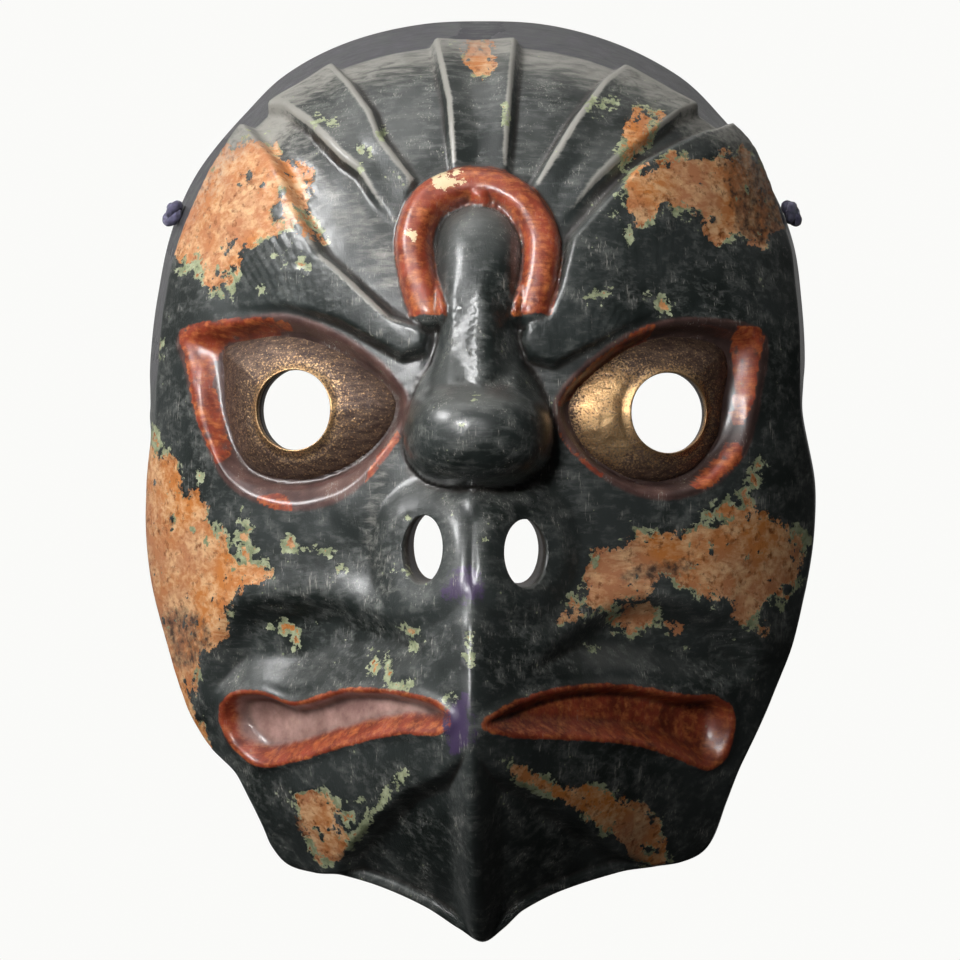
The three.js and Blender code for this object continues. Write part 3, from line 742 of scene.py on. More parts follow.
    def on_face(self, degrees: Array, share: float, inset: Array = 0.0) -> tuple[Array, Array]:
        """Places at a share of the way from the centre to the face's edge.

        Args:
            degrees: Directions from the centre.
            share: Share of the way.
            inset: Distance inside the edge that counts as the whole way.

        Returns:
            The sideways and upward places.
        """
        radius = (self.edge_radius(degrees) - inset) * share
        angle = np.radians(degrees)
        return CENTRE[0] + radius * np.cos(angle), CENTRE[1] + radius * np.sin(angle)

    def rim(self, degrees: Array, inset: float = 0.0, back: float = 0.0) -> Array:
        """Points of the rear rim.

        Args:
            degrees: Directions from the centre.
            inset: Distance inside the rim's outer edge.
            back: Distance in front of the rim's plane.

        Returns:
            One point in each row.
        """
        x, z = self.on_face(degrees, 1, inset - self.rim_flare(degrees))
        return np.stack([x, -np.maximum(self.rim_step(degrees), 0) - back, z], axis=1)

    def side(self, degrees: Array, way: float) -> Array:
        """Points of the outer side wall.

        Args:
            degrees: Directions from the centre.
            way: 0 at the face's edge and 1 at the rim.

        Returns:
            One point in each row.
        """
        x, z = self.on_face(degrees, 1)
        bulge = 1.6 * (1 - smooth(z, -95, -70)) * 4 * way * (1 - way)
        out_x, out_z = self.on_face(degrees, 1, -bulge)
        plain = self.face(x, z, 0, 0)
        raised = (self.face(x, z) - plain) * (1 - smooth(way, 0, 0.2))
        out = np.stack([out_x - x, np.zeros(x.shape), out_z - z], axis=1)
        return plain + (self.rim(degrees) - plain) * way + raised + out

    def hollow(self, x: Array, z: Array) -> Array:
        """Points of the hollow behind the face, with the marks of the gouge.

        Args:
            x: Sideways places.
            z: Upward places.

        Returns:
            One point in each row.
        """
        step = 1.0
        slope = np.hypot((self.base(x + step, z) - self.base(x - step, z)) / (2 * step),
                         (self.base(x, z + step) - self.base(x, z - step)) / (2 * step))
        height = self.base(x, z) - self.wall * np.hypot(1, np.minimum(slope, 1.3))
        row = np.floor((x + 0.25 * z) / 8.0)
        across = (x + 0.25 * z) / 8.0 - row - 0.5
        along = np.mod(z / 23.0 + 0.37 * row, 1) - 0.5
        gouge = 0.55 * (1 - 3.2 * across**2) * (1 - 1.6 * along**2)
        return np.stack([x, -height - gouge, z], axis=1)

    def directions(self, count: int) -> Array:
        """Directions that divide the face's edge into equal lengths.

        Args:
            count: Number of directions.

        Returns:
            The directions, in degrees.
        """
        fine = np.linspace(0, FULL_TURN, 1441)
        x, z = self.on_face(fine, 1)
        lengths = np.concatenate([[0], np.cumsum(np.hypot(np.diff(x), np.diff(z)))])
        return np.interp(np.arange(count) / count * lengths[-1], lengths, fine)


# ------------------------------------------------------------ making meshes and materials
def linear(code: str) -> tuple[float, float, float, float]:
    """Linear colour of an sRGB hex value.

    Args:
        code: Six hex digits after a hash.

    Returns:
        Red, green, blue and alpha for a node's socket.
    """
    parts = [int(code[i : i + 2], 16) / 255 for i in (1, 3, 5)]
    red, green, blue = (p / 12.92 if p <= 0.04045 else ((p + 0.055) / 1.055) ** 2.4 for p in parts)
    return red, green, blue, 1.0


def node(
    tree: bpy.types.NodeTree,
    kind: str,
    settings: dict | None = None,
    links: dict | None = None,
    out: int | str = 0,
) -> bpy.types.NodeSocket | None:
    """Adds a node with its settings and links.

    Args:
        tree: The node tree that takes it.
        kind: Type of the node, without the ShaderNode that starts every one.
        settings: Its properties by name.
        links: For each input, by name or number, the output that feeds it or its fixed value.
        out: The output that is wanted.

    Returns:
        That output, or None for a node that has none.
    """
    made = tree.nodes.new("ShaderNode" + kind)
    for name, value in (settings or {}).items():
        setattr(made, name, value)
    for name, value in (links or {}).items():
        if isinstance(value, bpy.types.NodeSocket):
            tree.links.new(value, made.inputs[name])
        else:
            made.inputs[name].default_value = value
    return made.outputs[out] if len(made.outputs) else None


# Settings of nodes that are used again and again.
COLOURS = {"data_type": "RGBA"}
EASED = {"interpolation_type": "SMOOTHSTEP"}
ADD = {"operation": "ADD"}
MULTIPLY = {"operation": "MULTIPLY"}
MULTIPLY_ADD = {"operation": "MULTIPLY_ADD"}
LARGER = {"operation": "MAXIMUM"}


def bare_material(name: str) -> bpy.types.Material:
    """Makes a material whose node tree is still empty.

    Args:
        name: Name of the material.

    Returns:
        The material.
    """
    material = bpy.data.materials.new(name)
    material.use_nodes = True
    material.node_tree.nodes.clear()
    return material


def facing_out(points: Array, faces: Sequence) -> Sequence:
    """Faces turned, where needed, so that a closed mesh's normals point out.

    Args:
        points: One point in each row.
        faces: Corner numbers of each face.

    Returns:
        The faces.
    """
    fans = np.array([(face[0], face[k], face[k + 1]) for face in faces for k in range(1, len(face) - 1)])
    a, b, c = (points[fans[:, k]] for k in range(3))
    inside_out = np.einsum("ij,ij->", a, np.cross(b, c)) < 0
    return [tuple(reversed(face)) for face in faces] if inside_out else faces


def mesh_object(name: str, points: Array, faces: Sequence) -> bpy.types.Object:
    """Makes a smoothly shaded object from points in millimetres.

    Args:
        name: Name of the object.
        points: One point in each row.
        faces: Corner numbers of each face.

    Returns:
        The object, linked to the scene.
    """
    mesh = bpy.data.meshes.new(name)
    mesh.from_pydata((points * MM).tolist(), [], facing_out(points, faces))
    mesh.polygons.foreach_set("use_smooth", [True] * len(mesh.polygons))
    mesh.update()
    made = bpy.data.objects.new(name, mesh)
    bpy.context.scene.collection.objects.link(made)
    return made


def write_field(mesh: bpy.types.Mesh, name: str, values: Array) -> None:
    """Stores one number for each vertex.

    Args:
        mesh: The mesh.
        name: Name under which a material reads the numbers.
        values: One number for each vertex.
    """
    mesh.attributes.new(name, "FLOAT", "POINT").data.foreach_set("value", values.astype(np.float32))


def skin_over(sizes: Sequence[int]) -> list[tuple[int, int, int]]:
    """Closes successive rings of points into one surface of triangles.

    Args:
        sizes: Number of points in each ring; the first and the last are single points.

    Returns:
        Corner numbers of the triangles.
    """
    starts = np.concatenate([[0], np.cumsum(sizes)]).tolist()
    faces = []
    for r, (size_a, size_b) in enumerate(zip(sizes[:-1], sizes[1:])):
        steps_a, steps_b = (size if size > 1 else 0 for size in (size_a, size_b))
        first_a, first_b = starts[r], starts[r + 1]
        a = b = 0
        while a < steps_a or b < steps_b:
            corner_a, corner_b = first_a + a % size_a, first_b + b % size_b
            if b < steps_b and (a >= steps_a or (b + 1) * steps_a <= (a + 1) * steps_b):
                b += 1
                faces.append((corner_a, corner_b, first_b + b % size_b))
            else:
                a += 1
                faces.append((corner_a, corner_b, first_a + a % size_a))
    return faces


def tube_faces(rings: int, around: int, closed: bool) -> list[tuple[int, ...]]:
    """Faces between equal rings of points, with flat ends unless the tube closes on itself.

    Args:
        rings: Number of rings.
        around: Points in each ring.
        closed: Whether the last ring joins the first.

    Returns:
        Corner numbers of the faces.
    """
    faces: list[tuple[int, ...]] = []
    for r in range(rings if closed else rings - 1):
        here, there = r * around, ((r + 1) % rings) * around
        for k in range(around):
            n = (k + 1) % around
            faces.append((here + k, there + k, there + n, here + n))
    if not closed:
        faces.append(tuple(range(around)))
        faces.append(tuple(reversed(range((rings - 1) * around, rings * around))))
    return faces


# ------------------------------------------------------------ camera
@dataclass
class Viewpoint:
    """The camera, just right of straight ahead and level with the bridge of the nose."""

    distance: float = 1070.0
    turn_degrees: float = 2.0
    aim: tuple[float, float, float] = (0.13, -30.0, -105.4)
    frame_width: float = 262.8
    sensor: float = 36.0

    def build(self) -> bpy.types.Object:
        """Makes the scene's camera."""
        lens = bpy.data.cameras.new("viewpoint")
        lens.sensor_width = self.sensor
        lens.lens = self.sensor * self.distance / self.frame_width
        lens.clip_start = 0.05
        camera = bpy.data.objects.new("viewpoint", lens)
        turn = math.radians(self.turn_degrees)
        away = Vector((math.sin(turn), -math.cos(turn), 0)) * self.distance
        camera.location = (Vector(self.aim) + away) * MM
        camera.rotation_euler = (-away).to_track_quat("-Z", "Y").to_euler()
        bpy.context.scene.collection.objects.link(camera)
        bpy.context.scene.camera = camera
        return camera


# ------------------------------------------------------------ hanging cord and its knots
@dataclass(frozen=True)
class BraidedCotton:
    """Indigo cotton braid, hand-plaited: matt, soft at grazing light, with painted shade in the grooves
    between the strands.
    """

    strand: str = "#625f7d"
    shadow: str = "#2b2939"
    faded: str = "#8a87a0"
    thread_mm: float = 0.22  # real yarn is 0.1 mm; drawn twice as coarse so that it shows
    bump_mm: float = 0.12

    def build(self) -> bpy.types.Material:
        """Makes the cord's material.

        Returns:
            A node material that reads the braid field of the cord and the knots.
        """
        material = bare_material("braided_cotton")
        add = partial(node, material.node_tree)
        place = add("TexCoord", out="Object")
        braid = add("Attribute", {"attribute_name": "braid"}, out="Fac")
        fibre = add("TexNoise", {}, {"Vector": place, "Scale": 1 / (self.thread_mm * MM), "Detail": 3.0})
        wash = add("TexNoise", {}, {"Vector": place, "Scale": 1 / (5 * MM), "Detail": 2.0})
        relief = add("Math", MULTIPLY_ADD, {0: fibre, 1: 0.5, 2: braid})
        # painted shade: the lower a point lies in the braid, the more of the shadow colour it takes
        shade = add("MapRange", {}, {"Value": relief, "From Min": 0.35, "From Max": 1.25})
        body = add("Mix", COLOURS, {0: shade, 6: linear(self.shadow), 7: linear(self.strand)}, 2)
        worn = add("MapRange", {}, {"Value": wash, "From Min": 0.5, "From Max": 0.75, "To Max": 0.5})
        colour = add("Mix", COLOURS, {0: worn, 6: body, 7: linear(self.faded)}, 2)
        bump = add("Bump", {}, {"Height": relief, "Distance": self.bump_mm * MM, "Strength": 0.8})
        shader = add(
            "BsdfPrincipled",
            {},
            {
                "Base Color": colour,
                "Roughness": 0.86,
                "Sheen Weight": 0.35,
                "Sheen Roughness": 0.5,
                "Normal": bump,
            },
        )
        add("OutputMaterial", {}, {"Surface": shader})
        return material


def sweep(
    path: Array, radius: float, around: int, plaits: int, pitch: float, groove: float
) -> tuple[Array, Array]:
    """Rings of a braided tube along a path.

    Args:
        path: Points of the centreline, in millimetres.
        radius: Radius over the strands.
        around: Points in each ring.
        plaits: Strands in each of the two directions of the braid.
        pitch: Length in which a strand goes once round.
        groove: Depth between strands.

    Returns:
        The points of all rings, and how far each stands out of the braid, from 0 to 1.
    """
    ahead = np.gradient(path, axis=0)
    ahead /= np.linalg.norm(ahead, axis=1)[:, None]
    side = np.cross(ahead[0], (0.1, 0.2, 1.0))
    rows, raised = [], []
    travel = np.concatenate([[0], np.cumsum(np.linalg.norm(np.diff(path, axis=0), axis=1))])
    angles = np.arange(around) / around * 2 * math.pi
    for centre, forward, s in zip(path, ahead, travel):
        side = side - forward * np.dot(side, forward)
        side /= np.linalg.norm(side)
        over = np.cross(forward, side)
        twist = 2 * math.pi * s / pitch
        one = np.abs(np.cos(plaits * (angles + twist) / 2))
        other = np.abs(np.cos(plaits * (angles - twist) / 2))
        swap = np.sign(np.sin(plaits * angles) * np.sin(plaits * twist))
        height = np.maximum(one * (0.85 + 0.15 * swap), other * (0.85 - 0.15 * swap)) ** 0.7
        reach = radius - groove * (1 - height)
        rows.append(
            centre + np.outer(reach * np.cos(angles), side) + np.outer(reach * np.sin(angles), over)
        )
        raised.append(height)
    return np.concatenate(rows), np.concatenate(raised)


@dataclass
class HangingCord:
    """The braided cord strung across the back of the mask, and the stopper knots outside its side walls."""

    diameter: float = 3.8
    around: int = 32
    steps: int = 620
    plaits: int = 4
    pitch: float = 15.0
    groove: float = 0.42
    knot_around: int = 20
    knot_steps: int = 220
    knot_pitch: float = 7.0
    knot_groove: float = 0.22
    knot_radius: float = 1.9
    knot_swing: float = 0.95
    knot_rise: float = 0.95
    strand_radius: float = 1.35
    half: tuple = ((82.1, -10.8, -31), (73, -9.9, -27.3), (55, -8.1, -19.9), (38, -6.4, -12.9),
                   (22, -4.8, -6.3), (10, -3.6, -1.4), (5, -3, 0.65), (2.5, -2.7, 1.57))
    top: tuple = (0, -2.6, 1.9)
    exits: tuple = (("left", 141.0), ("right", 39.0))  # directions from the middle of the face, in degrees
    exit_way: float = 0.58  # how far back in the side wall the cord leaves it
    material: bpy.types.Material | None = None

    def route(self) -> Array:
        """Centreline from the left hole over the nail to the right hole."""
        left = [(-x, y, z) for x, y, z in self.half]
        return curve_through([*left, self.top, *reversed(self.half)], False, self.steps)

    def build_knot(self, name: str, node_name: str, outwards: Array) -> bpy.types.Object:
        """Ties one stopper knot where its CAD solid is.

        Args:
            name: Name of the piece.
            node_name: The CAD node it stands for.
            outwards: Unit direction out of the side wall.

        Returns:
            The knot.
        """
        low, high = (np.array(corner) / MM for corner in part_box(node_name))
        t = np.linspace(0, 2 * math.pi, self.knot_steps, endpoint=False)
        swing = self.knot_radius + self.knot_swing * np.cos(3 * t)
        across = np.cross(outwards, (0, 0, 1.0))
        across /= np.linalg.norm(across)
        up = np.cross(across, outwards)
        path = (low + high) / 2 + np.outer(swing * np.cos(2 * t), across)
        path += np.outer(swing * np.sin(2 * t), up) + np.outer(self.knot_rise * np.sin(3 * t), outwards)
        points, raised = sweep(
            path, self.strand_radius, self.knot_around, self.plaits, self.knot_pitch, self.knot_groove
        )
        knot = mesh_object(name, points, tube_faces(len(path), self.knot_around, True))
        write_field(knot.data, "braid", raised)
        knot.data.materials.append(self.material)
        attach(knot, BODY)
        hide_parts(node_name)
        return knot

    def build(self, relief: Relief) -> list[bpy.types.Object]:
        """Makes the cord and both knots.

        Args:
            relief: The carved form, for the direction of its side walls.

        Returns:
            The pieces.
        """
        self.material = BraidedCotton().build()
        path = self.route()
        points, raised = sweep(path, self.diameter / 2, self.around, self.plaits, self.pitch, self.groove)
        cord = mesh_object("braided_hanging_cord", points, tube_faces(len(path), self.around, False))
        write_field(cord.data, "braid", raised)
        cord.data.materials.append(self.material)
        knots = []
        for side, degrees in self.exits:
            at = np.array([degrees - 1, degrees, degrees + 1])
            along = relief.side(at, self.exit_way)
            back = relief.side(at, self.exit_way + 0.05)[1] - relief.side(at, self.exit_way - 0.05)[1]
            outwards = np.cross(back, along[2] - along[0])
            outwards /= np.linalg.norm(outwards)
            knots.append(self.build_knot(f"stopper_knot_{side}", f"cord_knot_{side}", outwards))
        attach(cord, BODY)
        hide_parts("hanging_cord")
        return [cord, *knots]


# ------------------------------------------------------- where the old paint is worn through, (x, z) in mm
class Layer(Enum):
    """Coats of the old finish that show where the ones over them are gone."""

    OCHRE = "ochre"
    GREEN = "green"
    RED = "red"
    MAUVE = "mauve"
    VIOLET = "violet"
    ROSE = "rose"


# Patches worn down to the ochre ground, with ragged edges.
OCHRE_PATCHES = (
    polygon(
        (
            (-62, -15), (-57, -12), (-54, -17), (-47, -21), (-46, -25), (-44, -29), (-47, -30), (-45, -35),
            (-43, -38), (-41, -42), (-45, -41), (-48, -38), (-52, -39), (-57, -42), (-62, -43), (-63, -47),
            (-65, -50), (-69, -51), (-71, -56), (-74, -48), (-77, -44), (-82, -44), (-90, -40), (-88, -24),
            (-76, -14),
        )
    ),
    polygon(
        (
            (40, -27), (43, -24), (51, -21), (61, -19), (70, -18), (82, -22), (86, -36), (78, -41),
            (73, -41), (69, -38), (63, -42), (59, -35), (54, -32), (49, -33), (44, -36), (41, -39),
            (40, -33),
        )
    ),
    polygon(((43, -7), (48, -8), (46, -12), (42, -17), (38, -21), (37, -21), (39, -16), (40, -12))),
    polygon(((-5, 16), (0, 16), (4, 10), (4, 6), (2, 3), (-1, 4), (-4, 8))),
    polygon(
        (
            (-91, -94), (-88, -97), (-84, -101), (-81, -107), (-75, -111), (-71, -118), (-68, -124),
            (-66, -129), (-55, -131), (-62, -133), (-64, -138), (-68, -141), (-69, -147), (-74, -153),
            (-77, -160), (-77, -166), (-76, -172), (-74, -180), (-84, -184), (-92, -163), (-98, -150),
            (-100, -139), (-101, -117), (-97, -97),
        )
    ),
    polygon(
        (
            (28, -135), (30, -130), (32, -125), (36, -123), (43, -120), (47, -122), (53, -120), (62, -117),
            (70, -115), (78, -115), (85, -119), (88, -123), (88, -131), (84, -135), (78, -139), (71, -142),
            (68, -141), (64, -137), (56, -132), (49, -132), (41, -138), (29, -140), (23, -142),
        )
    ),
    polygon(
        ((34, -142), (41, -139), (48, -140), (56, -145), (54, -148), (49, -144), (42, -146), (36, -146))
    ),
    polygon(((73, -143), (78, -144), (77, -147), (74, -146))),
    polygon(
        (
            (-48, -191), (-41, -190), (-37, -194), (-36, -202), (-38, -207), (-43, -209), (-45, -203),
            (-48, -196),
        )
    ),
    polygon(
        (
            (26, -187), (33, -187), (41, -192), (47, -195), (50, -200), (49, -206), (44, -206), (38, -200),
            (33, -194),
        )
    ),
)
# Islands of dark paint left inside the patches: place and radius.
DARK_ISLANDS = (
    (-52, -35, 2.2), (-51, -29, 1.2), (-66, -49, 1.5), (-60, -25, 1.0), (-84, -116, 1.0), (84, -135, 1.6),
)
# Dirt rubbed into the ochre.
STAINS = (
    blob(((-88, -141), (-76, -139), (-70, -148), (-75, -156), (-83, -159), (-87, -152))),
    blob(((36, -130), (43, -127), (54, -125), (60, -128), (56, -132), (47, -133), (39, -134))),
    blob(((62, -18), (84, -20), (84, -42), (70, -40), (66, -30))),
    blob(((-56, -194), (-48, -194), (-44, -203), (-43, -210), (-52, -210), (-56, -203))),
)
# Chips down to the pale green coat: place and radius. The large ones show ochre in the middle.
CHIPS = (
    (-62.6, -121, 3.4), (-61, -125, 2.4), (-49.4, -122.8, 2.6), (-46, -124, 2.0), (-39.8, -124.8, 1.9),
    (-36, -129, 1.8), (-56.5, -127.6, 1.2), (-51.4, -146, 3.0), (-50, -149, 2.2), (-15.4, -145, 2.6),
    (-16, -148, 2.0), (-22.3, -155.4, 2.4), (-26.7, -154.2, 2.2), (-19, -159, 1.6), (-5.8, -161.9, 1.7),
    (-0.8, -146, 1.8), (-0.5, -151, 1.6), (-87, -97.7, 2.2), (-85, -101, 1.6), (-88, -68, 1.4),
    (-88, -72, 1.2), (-25, -13, 1.4), (-42.3, -9.8, 1.8), (-39, -10.5, 1.3), (-31, -18, 1.2),
    (-28.5, -19, 0.9), (-30.5, -22.2, 0.8), (7.4, -8.3, 1.5), (7.6, -11, 1.2), (30, -6.5, 2.0),
    (36, -5, 1.5), (33, -5.6, 1.2), (38, -33, 1.8), (36.5, -36, 1.2), (30.2, -58, 1.7), (33, -56.5, 1.4),
    (39.8, -41, 1.6), (49.8, -58.5, 2.5), (45, -57, 1.0), (67, -113, 4.0), (72, -110, 3.0), (62, -115, 2.4),
    (74.7, -105, 2.4), (76, -101, 1.6), (47.4, -120.3, 2.0), (43, -119, 1.5), (-44.4, -48.8, 1.7),
    (-50, -47, 1.4), (-53, -46, 1.0), (-47, -52, 1.0), (-57, -55, 0.9), (-33.7, -195.8, 2.4),
    (-33.3, -200.5, 2.0), (-30, -190, 1.2), (-17.5, -115, 1.0), (-16.5, -129, 1.2), (-70, -55, 2.0),
    (-66, -55.5, 1.6), (-77, -49, 1.8), (-82, -48, 1.6), (82, -139, 1.6), (80, -124, 0.9), (-75, -104, 1.4),
    (58, -151, 0.9), (32, -151, 0.9), (2.5, -121, 0.8), (-2.5, -92, 0.9), (0.5, -84, 0.8),
)
VIOLET_PATCHES = (
    blob(((-7, -131), (-2, -129), (2, -131), (1.5, -136), (-3, -137), (-7, -135))),
    blob(((-6, -164.5), (-2.6, -161), (0, -166), (0, -174), (-4.4, -175), (-6, -170))),
)
NOSTRILS = ((-13.2, -123.4), (13.6, -124.4))
# Brick red on the eyelids: outer corners, upper strips and short inner strokes.
LID_REDS = (
    polygon(((22.5, -85), (26.5, -80), (32.5, -74.5), (38.5, -70), (44.5, -65.5), (47, -65), (46.5, -67.5),
        (39, -72.5), (33, -77.5), (27, -82))),
    polygon(((70.5, -65), (76, -65), (76.5, -67.5), (75, -74.5), (74, -82.5), (71.5, -89.5), (71.5, -88.5),
        (72.5, -80), (72.5, -73))),
    polygon(((70.5, -96.5), (70, -100), (66, -103.5), (62, -106.5), (59, -107), (63, -103.5), (67, -100),
        (69, -96.5))),
    polygon(((21, -92), (24, -97), (30, -102), (33, -104.5), (30, -103.5), (24, -98.5), (21, -94.5))),
    polygon(((-81, -65), (-75, -63), (-71, -63), (-61.5, -62.5), (-55, -63), (-51, -64), (-55.5, -65),
        (-64.5, -66), (-70.5, -67), (-73.5, -69), (-75, -73), (-75, -80), (-73, -87), (-71.5, -93),
        (-69.5, -99), (-70, -100), (-72, -96.5), (-74.5, -91.5), (-76.5, -85), (-78, -76), (-80, -69.5))),
    polygon(((-20.5, -93.5), (-20, -95.5), (-23, -100), (-28, -105.5), (-27, -102.5), (-24, -98))),
    polygon(((-58, -110.5), (-52.5, -109.5), (-49.5, -113), (-53, -113))),
)
# Dust in the crease from the inner corner of the left eye down the cheek.
CHEEK_CREASE = stroke(
    ((-22.5, -84), (-22.5, -95), (-23.5, -103), (-26, -110.5), (-27, -118.5), (-26, -126.5), (-22, -134))
)
# The groove between the left feather plate and the left brow.
FEATHER_RECESS = stroke(((-64, -8), (-50, -14), (-40, -28), (-30, -40), (-21, -52)))
# Creases of the jaw, worn to the ochre on the right and to the pale green on the left.
JAW_LINE = stroke(((12, -181), (17, -184), (28, -191), (38, -199), (44, -207), (49, -208)))
JAW_EDGE = stroke(((-18, -182.5), (-26, -192), (-34, -203.5)))
# Cream spots on the ring: place and radius.
RING_CREAM = (
    (-10.5, -26.5, 1.7), (-8, -25.4, 1.6), (-5, -25, 1.2), (-8.5, -28.4, 1.5), (-5.5, -28, 1.4),
    (-16.6, -42, 1.1),
)


@dataclass
class PaintPlan:
    """Where each coat shows on the face: signed distances in millimetres, positive where it shows."""

    relief: Relief
    patch_ragged: float = 1.7
    fringe: float = 0.5
    ground_sunk: float = 0.26
    coat_sunk: float = 0.14
    dry_edge: float = 13.0  # width along the face's edge in which the plates and brows are rubbed pale
    grain: Grain = field(default_factory=lambda: Grain(seed=5))

    def round_spots(self, spots: Sequence, x: Array, z: Array, ragged: Array) -> Array:
        """Depth inside a set of ragged round spots.

        Args:
            spots: Place and radius of each.
            x: Sideways places.
            z: Upward places.
            ragged: Unevenness of their edges, about -1 to 1.

        Returns:
            The signed distances.
        """
        depth = np.full(x.shape, -9.0)
        for cx, cz, radius in spots:
            squeeze = 0.35 * math.sin(cx * 7)
            away = np.hypot((x - cx) * (1 + squeeze), (z - cz) * (1 - squeeze))
            depth = np.maximum(depth, radius * (1 + 0.75 * ragged) - away)
        return depth

    def fields(self, x: Array, z: Array, points: Array) -> dict[Layer, Array]:
        """Works out where every coat shows.

        Args:
            x: Sideways places on the layout.
            z: Upward places on the layout.
            points: The same places in space.

        Returns:
            A signed distance for each coat.
        """
        runs = points * np.array([1.0, 0.8, 0.55])
        broad = self.grain(points, 9.0, 2)
        rough = self.grain(runs, 4.2, 4)
        fine = self.grain(points + 50, 1.9, 3)
        ragged = self.patch_ragged * (0.5 * broad + 1.1 * rough) + 0.5 * fine
        ground = deepest_inside(OCHRE_PATCHES, x, z, NEAR) + ragged
        ground = np.minimum(ground, -self.round_spots(DARK_ISLANDS, x, z, rough))
        pits = 4.2 * (self.grain(points + 90, 3.2, 4) - 0.7)
        ground = np.minimum(ground, np.where(ground > 1.0, -pits, ground))
        chips = self.round_spots(CHIPS, x, z, 0.5 * rough + 1.1 * fine)
        ground = np.maximum(ground, chips - 1.9)
        ground = np.maximum(ground, 1.1 + 0.8 * rough - distance_to(JAW_LINE, x, z, NEAR))
        green = np.maximum(chips, 0.9 + 0.8 * rough - distance_to(JAW_EDGE, x, z, NEAR))
        green = np.maximum(green, ground + self.fringe + 3.2 * self.grain(points + 30, 7.0, 3))
        ring = self.relief.ring_half_width + 0.25 - distance_to(RING_LINE, x, z)
        ring = np.minimum(ring, 62.5 + z + 0.6 * fine)
        lips = deepest_inside(LIP_GROOVES, x, z)
        in_lid = deepest_inside(LIDS, x, z)
        in_gilt = deepest_inside(GILTS, x, z)
        band = np.minimum(in_lid + 0.2, 0.8 - in_gilt)
        reds = deepest_inside(LID_REDS, x, z, NEAR)
        lids = np.minimum(reds + 0.3 + 0.5 * fine, band + 0.6)
        pits_of_lips = [1 - ((x - px) / 9.0) ** 2 - ((z - pz) / 7.5) ** 2 for px, pz in LIP_PITS]
        channel = deepest_inside(LIP_GROOVES, x, z - 1.2)
        inner = np.maximum(channel - 2.2 + 0.5 * rough, 4 * np.max(pits_of_lips, axis=0) - 0.4)
        inner = np.where(x < 0, np.minimum(inner, lips), -9)
        violet = deepest_inside(VIOLET_PATCHES, x, z, NEAR)
        return {
            Layer.OCHRE: ground,
            Layer.GREEN: green,
            Layer.RED: np.maximum(np.maximum(ring, lids), lips + 0.7 + 0.25 * fine),
            Layer.MAUVE: band + 0.4,
            Layer.ROSE: inner,
            Layer.VIOLET: violet + 1.2 * rough,
        }

    def rubbed(self, x: Array, z: Array, inside: Array) -> Array:
        """How much the outer ends of the plates and brows are rubbed pale.

        Args:
            x: Sideways places.
            z: Upward places.
            inside: Distance inside the front edge of the face.

        Returns:
            0 for none to 1 for fully rubbed.
        """
        near_edge = 1 - smooth(inside, 0.5, self.dry_edge)
        upper = smooth(z, -52, -12)
        recess = np.exp(-((distance_to(FEATHER_RECESS, x, z, NEAR) / 5.5) ** 2))
        crease = np.exp(-((distance_to(CHEEK_CREASE, x, z, NEAR) / 2.4) ** 2))
        return np.clip(0.85 * near_edge * upper + 0.45 * recess + 0.4 * crease, 0, 1)


